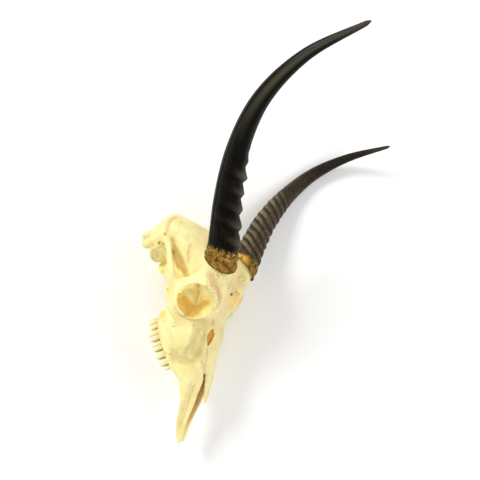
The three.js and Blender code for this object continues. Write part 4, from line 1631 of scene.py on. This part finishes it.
class NodeBench:
    """Small helpers that place and wire shader nodes in one tree."""

    def __init__(self, tree: bpy.types.NodeTree) -> None:
        """Keeps the tree that nodes are placed in."""
        self.tree = tree

    def add(self, kind: str, **settings: object) -> bpy.types.Node:
        """Places a node of a kind and sets its properties."""
        node = self.tree.nodes.new(kind)
        for key, value in settings.items():
            setattr(node, key, value)
        return node

    def feed(self, socket: Socket, value: object) -> None:
        """Wires a socket to another node's output, or sets it to a plain value."""
        if isinstance(value, Socket):
            self.tree.links.new(value, socket)
        else:
            socket.default_value = value

    def layer(self, name: str) -> Socket:
        """The piece's own attribute as a number."""
        return self.add("ShaderNodeAttribute", attribute_name=name).outputs["Fac"]

    def math(self, operation: str, a: object, b: object = 0.0, clamp: bool = False) -> Socket:
        """One sum, product or the like of two values."""
        node = self.add("ShaderNodeMath", operation=operation, use_clamp=clamp)
        self.feed(node.inputs[0], a)
        self.feed(node.inputs[1], b)
        return node.outputs[0]

    def blend(self, share: object, first: object, second: object) -> Socket:
        """A colour between two colours."""
        node = self.add("ShaderNodeMix", data_type="RGBA")
        self.feed(node.inputs["Factor"], share)
        self.feed(node.inputs["A"], first)
        self.feed(node.inputs["B"], second)
        return node.outputs["Result"]

    def noise(
        self, scale: float, detail: float = 3.0, place: object = None, stretch: tuple = (1, 1, 1)
    ) -> Socket:
        """Noise on object coordinates, or on another place, stretched along its axes."""
        if place is None:
            place = self.add("ShaderNodeTexCoord").outputs["Object"]
        mapping = self.add("ShaderNodeMapping")
        mapping.inputs["Scale"].default_value = stretch
        self.feed(mapping.inputs["Vector"], place)
        node = self.add("ShaderNodeTexNoise")
        self.feed(node.inputs["Vector"], mapping.outputs["Vector"])
        node.inputs["Scale"].default_value = scale
        node.inputs["Detail"].default_value = detail
        return node.outputs["Fac"]

    def between(
        self, value: object, low: float, high: float, to_low: float = 0.0, to_high: float = 1.0
    ) -> Socket:
        """A value taken from one range to another, and held inside it."""
        node = self.add("ShaderNodeMapRange", clamp=True)
        self.feed(node.inputs["Value"], value)
        node.inputs["From Min"].default_value = low
        node.inputs["From Max"].default_value = high
        node.inputs["To Min"].default_value = to_low
        node.inputs["To Max"].default_value = to_high
        return node.outputs["Result"]

    def beside(self, turn: object, middle: float) -> Socket:
        """How far a place round the horn is from a stated turn."""
        return self.math("ABSOLUTE", self.math("SUBTRACT", turn, middle))

    def pores(self, scale: float, amount: object) -> bpy.types.Node:
        """The shared pores at a scale and an amount."""
        node = self.add("ShaderNodeGroup")
        node.node_tree = pore_group()
        self.feed(node.inputs["Scale"], scale)
        self.feed(node.inputs["Amount"], amount)
        return node

    def bump(self, height: object, strength: float, distance: float) -> Socket:
        """The normal that a height gives."""
        node = self.add("ShaderNodeBump")
        node.inputs["Strength"].default_value = strength
        node.inputs["Distance"].default_value = distance
        self.feed(node.inputs["Height"], height)
        return node.outputs["Normal"]


def pore_group() -> bpy.types.NodeTree:
    """The fine pores and speckle that bone and teeth share, as a height and a shade."""
    name = "pores"
    if name in bpy.data.node_groups:
        return bpy.data.node_groups[name]
    group = bpy.data.node_groups.new(name, "ShaderNodeTree")
    for label, low in (("Scale", 900.0), ("Amount", 0.5)):
        socket = group.interface.new_socket(label, in_out="INPUT", socket_type="NodeSocketFloat")
        socket.default_value = low
    for label in ("Height", "Shade"):
        group.interface.new_socket(label, in_out="OUTPUT", socket_type="NodeSocketFloat")
    bench = NodeBench(group)
    given = bench.add("NodeGroupInput")
    result = bench.add("NodeGroupOutput")
    place = bench.add("ShaderNodeTexCoord").outputs["Object"]
    cells = bench.add("ShaderNodeTexVoronoi", feature="F1")
    bench.feed(cells.inputs["Vector"], place)
    bench.feed(cells.inputs["Scale"], given.outputs["Scale"])
    fine = bench.add("ShaderNodeTexNoise")
    bench.feed(fine.inputs["Vector"], place)
    bench.feed(fine.inputs["Scale"], bench.math("MULTIPLY", given.outputs["Scale"], 0.6))
    pore = bench.between(cells.outputs["Distance"], 0.05, 0.45)
    height = bench.math("MULTIPLY", bench.math("ADD", pore, fine.outputs["Fac"]), given.outputs["Amount"])
    bench.feed(result.inputs["Height"], height)
    shade = bench.math("MULTIPLY", bench.math("SUBTRACT", 1.0, pore), given.outputs["Amount"])
    bench.feed(result.inputs["Shade"], shade)
    return group


def start_material(name: str) -> tuple:
    """A new node material.

    Args:
        name: the material's name.

    Returns:
        The material, a bench for its nodes and its Principled shader.
    """
    material = bpy.data.materials.new(name)
    material.use_nodes = True
    shader = next(n for n in material.node_tree.nodes if n.type == "BSDF_PRINCIPLED")
    return material, NodeBench(material.node_tree), shader


def rgb(red: float, green: float, blue: float) -> tuple:
    """A screen colour, from 0 to 255 a channel, as a linear shader colour."""
    linear = []
    for value in (red, green, blue):
        share = value / 255
        linear.append(share / 12.92 if share <= 0.04045 else ((share + 0.055) / 1.055) ** 2.4)
    return (*linear, 1.0)


@dataclass(frozen=True)
class BoneFinish:
    """Dry, bleached bone: cream, beige on the roof of the nose, orange-tan stains, tan painted shade
    in its hollows, painted light on its bulges and olive painted shade in its creases.
    """

    pale: tuple = rgb(252, 244, 178)
    cream: tuple = rgb(244, 226, 150)
    beige: tuple = rgb(229, 208, 154)
    # Colour of the olive painted shade.
    olive: tuple = rgb(206, 188, 124)
    pink: tuple = rgb(228, 196, 142)
    tan: tuple = rgb(250, 212, 112)
    ochre: tuple = rgb(206, 150, 56)
    rust: tuple = rgb(206, 120, 80)
    gold: tuple = rgb(250, 222, 90)
    seam: tuple = rgb(186, 166, 108)
    pore: tuple = rgb(168, 146, 62)
    # Colour of the painted shade in holes, slits and the socket's cleft.
    dark: tuple = rgb(66, 46, 22)
    roughness: float = 0.55

    def build(self) -> bpy.types.Material:
        """The material.

        Returns:
            The finished material.
        """
        material, bench, shader = start_material("bone")
        grain = bench.layer("grain")
        pores = bench.pores(650.0, bench.between(grain, 0.0, 1.0, 0.18, 1.0))
        wrinkle = bench.noise(110.0, 8.0, None, (1.0, 0.35, 1.0))
        colour = self._stained(bench)
        speck = bench.between(grain, 0.1, 1.0, 0.5, 1.3)
        colour = bench.blend(bench.math("MULTIPLY", pores.outputs["Shade"], speck, True), colour, self.pore)
        # Painted shade: olive in the wrinkles' creases, where the bump sinks the surface.
        colour = bench.blend(bench.between(wrinkle, 0.52, 0.66, 0.0, 0.3), colour, self.olive)
        bench.feed(shader.inputs["Base Color"], colour)
        height = bench.math("SUBTRACT", pores.outputs["Height"], bench.math("MULTIPLY", wrinkle, 0.8))
        bench.feed(shader.inputs["Normal"], bench.bump(height, 0.6, 0.0012))
        rough = bench.between(bench.noise(220.0), 0.3, 0.7, self.roughness - 0.07, self.roughness + 0.1)
        bench.feed(shader.inputs["Roughness"], rough)
        shader.inputs["Subsurface Weight"].default_value = 0.08
        shader.inputs["Subsurface Radius"].default_value = (0.006, 0.004, 0.002)
        shader.inputs["Subsurface Scale"].default_value = 1.0
        return material

    def _stained(self, bench: NodeBench) -> Socket:
        """The colour with every stain, painted shade and painted light on it, from the broad tinges to the
        seams.

        Args:
            bench: where the nodes are placed.

        Returns:
            The colour.
        """
        broad = bench.between(bench.noise(45.0, 4.0), 0.35, 0.65)
        patchy = bench.between(bench.noise(90.0, 4.0), 0.25, 0.7, 0.55, 1.0)
        tinge = bench.between(bench.noise(120.0, 5.0), 0.3, 0.7, 0.7, 1.0)
        mottle = bench.between(bench.noise(160.0, 5.0), 0.3, 0.7, 0.8, 1.0)
        colour = bench.blend(broad, self.cream, self.pale)
        for layer, amount, tint in (
            ("beige", patchy, self.beige),
            ("olive", tinge, self.olive),
            ("pink", tinge, self.pink),
        ):
            colour = bench.blend(bench.math("MULTIPLY", bench.layer(layer), amount), colour, tint)
        # Painted shade in the hollows and painted light on the bulges.
        hollow = bench.between(bench.layer("hollow"), 0.15, 0.9, 0.0, 0.32)
        colour = bench.blend(hollow, colour, self.tan)
        proud = bench.between(bench.layer("proud"), 0.45, 1.0, 0.0, 0.5)
        colour = bench.blend(proud, colour, self.pale)
        for layer, amount, tint in (
            ("stain", mottle, self.tan),
            ("deep", mottle, self.ochre),
            ("rust", 1.0, self.rust),
            ("gold", 1.0, self.gold),
            ("dark", 1.0, self.dark),
            ("seam", 0.6, self.seam),
        ):
            colour = bench.blend(bench.math("MULTIPLY", bench.layer(layer), amount), colour, tint)
        return colour


@dataclass(frozen=True)
class HornFinish:
    """Black horn with a rough amber band at its base, a painted sheen streak and a paler tip."""

    name: str
    black: tuple
    brown: tuple
    # Colour of the painted highlight on the ridge crests.
    crest: tuple
    brown_share: float
    band: float
    band_lean: float
    gold_turn: float
    highlight_turn: float
    crackle: float
    # Where round the horn the painted sheen streak lies.
    sheen_turn: float
    highlight_share: float = 0.7
    amber: tuple = rgb(146, 108, 42)
    umber: tuple = rgb(76, 54, 22)
    gold: tuple = rgb(234, 186, 72)
    fleck: tuple = rgb(226, 206, 158)
    tip: tuple = rgb(74, 66, 58)
    # Colour of the painted sheen streak.
    wear_and_sheen: tuple = rgb(98, 94, 74)

    def build(self) -> bpy.types.Material:
        """The material.

        Returns:
            The finished material.
        """
        material, bench, shader = start_material(self.name)
        share, turn = bench.layer("share"), bench.layer("turn")
        around = bench.math("MULTIPLY", turn, math.tau)
        place = bench.add("ShaderNodeCombineXYZ")
        bench.feed(place.inputs["X"], bench.math("COSINE", around))
        bench.feed(place.inputs["Y"], bench.math("SINE", around))
        bench.feed(place.inputs["Z"], bench.math("MULTIPLY", share, 18.0))
        spot = place.outputs["Vector"]
        fibres = bench.noise(9.0, 5.0, spot, (2.2, 2.2, 0.12))
        grit = bench.noise(15.0, 4.0, spot, (1.0, 1.0, 0.8))
        ragged = bench.between(bench.noise(4.0, 6.0, spot, (1.6, 1.6, 0.7)), 0.25, 0.75, -0.012, 0.012)
        lean = bench.math("COSINE", bench.math("SUBTRACT", around, self.band_lean))
        lean = bench.math("MULTIPLY", lean, 0.02)
        edge = bench.math("SUBTRACT", bench.math("ADD", share, ragged), lean)
        band = bench.between(edge, self.band - 0.008, self.band + 0.006, 1.0, 0.0)
        body = self._body(bench, share, turn, spot, fibres, grit)
        crust = self._crust(bench, share, turn, spot, edge)
        bench.feed(shader.inputs["Base Color"], bench.blend(band, body, crust))
        smooth = bench.between(share, 0.25, 0.55, 0.38, 0.3)
        rough = bench.math("ADD", smooth, bench.math("MULTIPLY", band, 0.2), True)
        rough = bench.math("ADD", rough, bench.between(fibres, 0.3, 0.7, -0.05, 0.1), True)
        bench.feed(shader.inputs["Roughness"], rough)
        coarse = bench.between(share, 0.4, 0.75, 1.0, 0.12)
        height = bench.math("ADD", bench.math("MULTIPLY", fibres, coarse), bench.math("MULTIPLY", grit, band))
        bench.feed(shader.inputs["Normal"], bench.bump(height, 0.4, 0.0009))
        bench.feed(shader.inputs["Specular IOR Level"], bench.between(share, 0.2, 0.45, 0.08, 0.12))
        return material

    def _body(
        self, bench: NodeBench, share: object, turn: object, spot: object, fibres: object, grit: object
    ) -> Socket:
        """The horn's colour: fibres, crackle, painted crest highlights and step shade, painted sheen, tip.

        Args:
            bench: where the nodes are placed.
            share: the place along the horn.
            turn: the place round it.
            spot: the two together, as a point on a tube.
            fibres: lengthwise noise.
            grit: fine noise.

        Returns:
            The colour.
        """
        cloud = bench.noise(2.0, 4.0, spot)
        brown = bench.math("MULTIPLY", bench.between(fibres, 0.42, 0.68), self.brown_share)
        brown = bench.math("ADD", brown, bench.between(cloud, 0.45, 0.75, 0.0, self.brown_share), True)
        fade = bench.between(share, 0.3, 0.65, 1.0, 0.2)
        colour = bench.blend(bench.math("MULTIPLY", brown, fade), self.black, self.brown)
        crackled = bench.math("MULTIPLY", bench.between(grit, 0.46, 0.56, 0.0, self.crackle), fade)
        colour = bench.blend(crackled, colour, self.brown)
        colour = bench.blend(bench.between(grit, 0.36, 0.45, self.crackle, 0.0), colour, self.black)
        # Painted highlight on the ridge crests, strongest on the side that faces the light.
        ridge = bench.between(bench.layer("ridge"), 0.3, 0.85, 0.0, self.highlight_share)
        lit = bench.between(bench.beside(turn, self.highlight_turn), 0.05, 0.2, 1.0, 0.12)
        ridge = bench.math("MULTIPLY", bench.math("MULTIPLY", ridge, lit), bench.between(grit, 0.3, 0.6, 0.4))
        colour = bench.blend(ridge, colour, self.crest)
        # Painted shade: a dark line along each ridge's lower step.
        colour = bench.blend(bench.math("MULTIPLY", bench.layer("line"), 0.85), colour, self.black)
        # Painted sheen: a lighter streak on the upper half, on the side where the key light's reflection
        # falls.
        aside = bench.between(bench.beside(turn, self.sheen_turn), 0.0, 0.09, 0.6, 0.0)
        wear_and_sheen = bench.math("MULTIPLY", aside, bench.between(share, 0.45, 0.68))
        colour = bench.blend(wear_and_sheen, colour, self.wear_and_sheen)
        return bench.blend(bench.between(share, 0.88, 1.0, 0.0, 0.8), colour, self.tip)

    def _crust(
        self, bench: NodeBench, share: object, turn: object, spot: object, edge: object
    ) -> Socket:
        """The base band: amber and umber crust, gold on one side, pale flecks at its upper edge.

        Args:
            bench: where the nodes are placed.
            share: the place along the horn.
            turn: the place round it.
            spot: the two together, as a point on a tube.
            edge: the place along the horn as the band's ragged edge sees it.

        Returns:
            The colour.
        """
        crust = bench.noise(3.2, 9.0, spot, (1.0, 1.0, 0.9))
        clump = bench.noise(8.0, 4.0, spot, (1.0, 1.0, 1.3))
        upper = bench.between(edge, self.band - 0.036, self.band - 0.016)
        flecks = bench.math("MULTIPLY", bench.between(clump, 0.56, 0.68, 0.0, 0.8), upper)
        golden = bench.between(bench.beside(turn, self.gold_turn), 0.1, 0.2, 1.0, 0.0)
        golden = bench.math("MULTIPLY", golden, bench.between(crust, 0.3, 0.45))
        colour = bench.blend(bench.between(crust, 0.4, 0.6), self.umber, self.amber)
        for amount, tint in (
            (bench.between(edge, self.band - 0.03, self.band, 0.0, 0.5), self.umber),
            (bench.between(clump, 0.5, 0.62, 0.0, 0.3), self.gold),
            (flecks, self.fleck),
            (golden, self.gold),
            (bench.between(share, 0.0, 0.006, 0.75, 0.0), self.umber),
        ):
            colour = bench.blend(amount, colour, tint)
        return colour


@dataclass(frozen=True)
class ToothFinish:
    """Cream enamel, yellower toward the root, painted shade in its furrows and dark on its worn biting face.
    """

    enamel: tuple = rgb(250, 244, 202)
    root: tuple = rgb(238, 216, 140)
    wear_and_furrow_shade: tuple = rgb(120, 98, 62)
    roughness: float = 0.32

    def build(self) -> bpy.types.Material:
        """The material.

        Returns:
            The finished material.
        """
        material, bench, shader = start_material("enamel")
        share = bench.layer("share")
        colour = bench.blend(bench.between(share, 0.3, 0.85), self.root, self.enamel)
        streak = bench.between(bench.noise(260.0, 4.0), 0.5, 0.75, 0.0, 0.45)
        colour = bench.blend(streak, colour, self.root)
        # Painted shade along the furrows between the lobes.
        colour = bench.blend(bench.math("MULTIPLY", bench.layer("furrow"), 0.5), colour, self.wear_and_furrow_shade)
        wear_and_sheen = bench.math("MULTIPLY", bench.between(share, 1.22, 1.5), 0.8)
        bench.feed(shader.inputs["Base Color"], bench.blend(wear_and_sheen, colour, self.wear_and_furrow_shade))
        pores = bench.pores(500.0, 0.25)
        rough = bench.math("ADD", self.roughness, pores.outputs["Shade"])
        bench.feed(shader.inputs["Roughness"], rough)
        bench.feed(shader.inputs["Normal"], bench.bump(pores.outputs["Height"], 0.2, 0.0003))
        return material


@dataclass(frozen=True)
class Studio:
    """The pale floor, the soft lights and the camera at the photograph's viewing angle."""

    camera_place: tuple = (480.2, 101.6, 289.1)
    camera_right: tuple = (-0.392, 0.296, 0.871)
    camera_up: tuple = (0.175, -0.906, 0.386)
    pixel_focus: float = 430.6
    image_width: float = 480.0
    sensor_mm: float = 36.0
    clip_end: float = 50.0
    floor_half: float = 6.0
    floor_colour: tuple = rgb(250, 250, 250)
    light_aim: tuple = (0.0, 0.0, 0.1)
    surround: float = 0.42

    def camera(self) -> None:
        """Places the camera: its head frame axes are turned into the row frame."""
        turn = POSE.turn()
        right = unit(self.camera_right)
        up = np.array(self.camera_up)
        up = unit(up - right * (up @ right))
        axes = turn @ np.column_stack([right, up, np.cross(right, up)])
        matrix = Matrix(axes.tolist()).to_4x4()
        matrix.translation = Vector(POSE.place(np.array([self.camera_place]))[0].tolist())
        data = bpy.data.cameras.new("view")
        data.sensor_width = self.sensor_mm
        data.lens = self.sensor_mm * self.pixel_focus / self.image_width
        data.clip_end = self.clip_end
        camera = add_object("view", data)
        camera.matrix_world = matrix
        bpy.context.scene.camera = camera

    def floor(self) -> None:
        """A wide pale floor at the surface that the head lies on."""
        s = self.floor_half
        mesh = bpy.data.meshes.new("floor")
        mesh.from_pydata([(-s, -s, 0), (s, -s, 0), (s, s, 0), (-s, s, 0)], [], [(0, 1, 2, 3)])
        floor = add_object("floor", mesh)
        material, _, shader = start_material("floor")
        shader.inputs["Base Color"].default_value = self.floor_colour
        shader.inputs["Roughness"].default_value = 0.9
        mesh.materials.append(material)

    def light(
        self, name: str, place: tuple, size: float, watts: float, colour: tuple, mirrored: bool
    ) -> None:
        """One square soft light that faces the middle of the skull.

        Args:
            name: the light's name.
            place: its middle, in metres.
            size: its side.
            watts: its power.
            colour: its colour.
            mirrored: whether glossy surfaces show it.
        """
        data = bpy.data.lights.new(name, "AREA")
        data.shape = "SQUARE"
        data.size = size
        data.energy = watts
        data.color = colour
        lamp = add_object(name, data)
        lamp.location = place
        lamp.visible_glossy = mirrored
        aim = Vector(self.light_aim) - Vector(place)
        lamp.rotation_euler = aim.to_track_quat("-Z", "Y").to_euler()

    def world(self) -> None:
        """An even white surround, and plain colours without a film look."""
        world = bpy.data.worlds.new("surround")
        world.use_nodes = True
        background = next(n for n in world.node_tree.nodes if n.type == "BACKGROUND")
        background.inputs["Color"].default_value = (1.0, 1.0, 1.0, 1.0)
        background.inputs["Strength"].default_value = self.surround
        bpy.context.scene.world = world
        bpy.context.scene.view_settings.view_transform = "Standard"

    def build(self) -> None:
        """Builds all of it."""
        self.camera()
        self.floor()
        self.world()
        self.light("key", (-0.8, 1.25, 1.3), 0.6, 21.0, (1.0, 0.99, 0.96), True)
        self.light("low", (-1.7, 0.8, 0.5), 0.8, 2.0, (1.0, 0.97, 0.88), True)
        self.light("side", (1.35, -0.2, 1.15), 1.1, 13.0, (1.0, 1.0, 1.0), False)
        self.light("foot", (-0.6, -1.3, 1.15), 1.1, 10.0, (1.0, 1.0, 1.0), False)


def dress(piece: Piece, material: bpy.types.Material, slot: str, *nodes: str) -> None:
    """Gives a piece its finish, hangs it under the root and hides the CAD nodes that it replaces.

    Args:
        piece: the new piece.
        material: its finish.
        slot: not used.
        nodes: the CAD nodes that it replaces.
    """
    piece.data.materials.append(material)
    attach(piece, ROOT)
    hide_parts(*nodes)


def horn_pair() -> tuple:
    """The near, black horn and the far, browner one, each with its finish."""
    near = Horn(
        name="sheath_right",
        node="horn_right",
        path=(
            (35, -34, 111), (60.5, -86, 147), (87, -126, 187.5),
            (110, -149, 232), (127, -156, 286), (136, -147, 348),
        ),
        mirror=1,
        seed=11,
        ridges=5.9,
        ridge_pitch=0.06,
        ridge_height=5.0,
        tilt=0.026,
        low_turn=0.58,
        front_turn=0.95,
        front_power=2.2,
        groove_turn=3.05,
        crackle=0.05,
        flare_turn=3.72,
        first_ridge=0.091,
    )
    far = Horn(
        name="sheath_left",
        node="horn_left",
        path=(
            (-33.2, -33.6, 108.5), (-64.8, -87.1, 144.8), (-96.4, -124.7, 184.8),
            (-119, -147, 229), (-133, -153, 281), (-134, -142, 341),
        ),
        mirror=-1,
        seed=23,
        ridges=10.5,
        ridge_pitch=0.0375,
        ridge_height=2.3,
        tilt=0.030,
        low_turn=1.78,
        front_turn=3.2,
        front_power=0.6,
        groove_turn=-0.6,
        crackle=0.3,
        flare_turn=4.92,
        first_ridge=0.048,
    )
    near_finish = HornFinish(
        name="near_horn",
        black=rgb(4, 4, 4),
        brown=rgb(36, 31, 18),
        crest=rgb(104, 98, 76),
        brown_share=0.3,
        band=0.05,
        band_lean=2.2,
        gold_turn=-2.0,
        highlight_turn=0.14,
        crackle=0.25,
        sheen_turn=0.41,
    )
    far_finish = HornFinish(
        name="far_horn",
        black=rgb(20, 17, 14),
        brown=rgb(92, 80, 60),
        crest=rgb(176, 156, 118),
        brown_share=0.5,
        band=0.034,
        band_lean=1.8,
        gold_turn=0.67,
        highlight_turn=0.7,
        crackle=0.8,
        sheen_turn=0.7,
    )
    return (near, near_finish), (far, far_finish)


def main() -> None:
    """Builds the studio, the bone, the horns and the teeth in that order."""
    logging.basicConfig(level=logging.INFO, format="%(message)s")
    Studio().build()
    dress(Skull().build(), BoneFinish().build(), "bone", "skull")
    for horn, finish in horn_pair():
        dress(horn.build(), finish.build(), "horn", horn.node)
    enamel = ToothFinish().build()
    for side, label in ((1, "right"), (-1, "left")):
        for piece, node in ToothRow(side, label).build():
            dress(piece, enamel, "tooth", node)


if __name__ == "__main__":
    main()
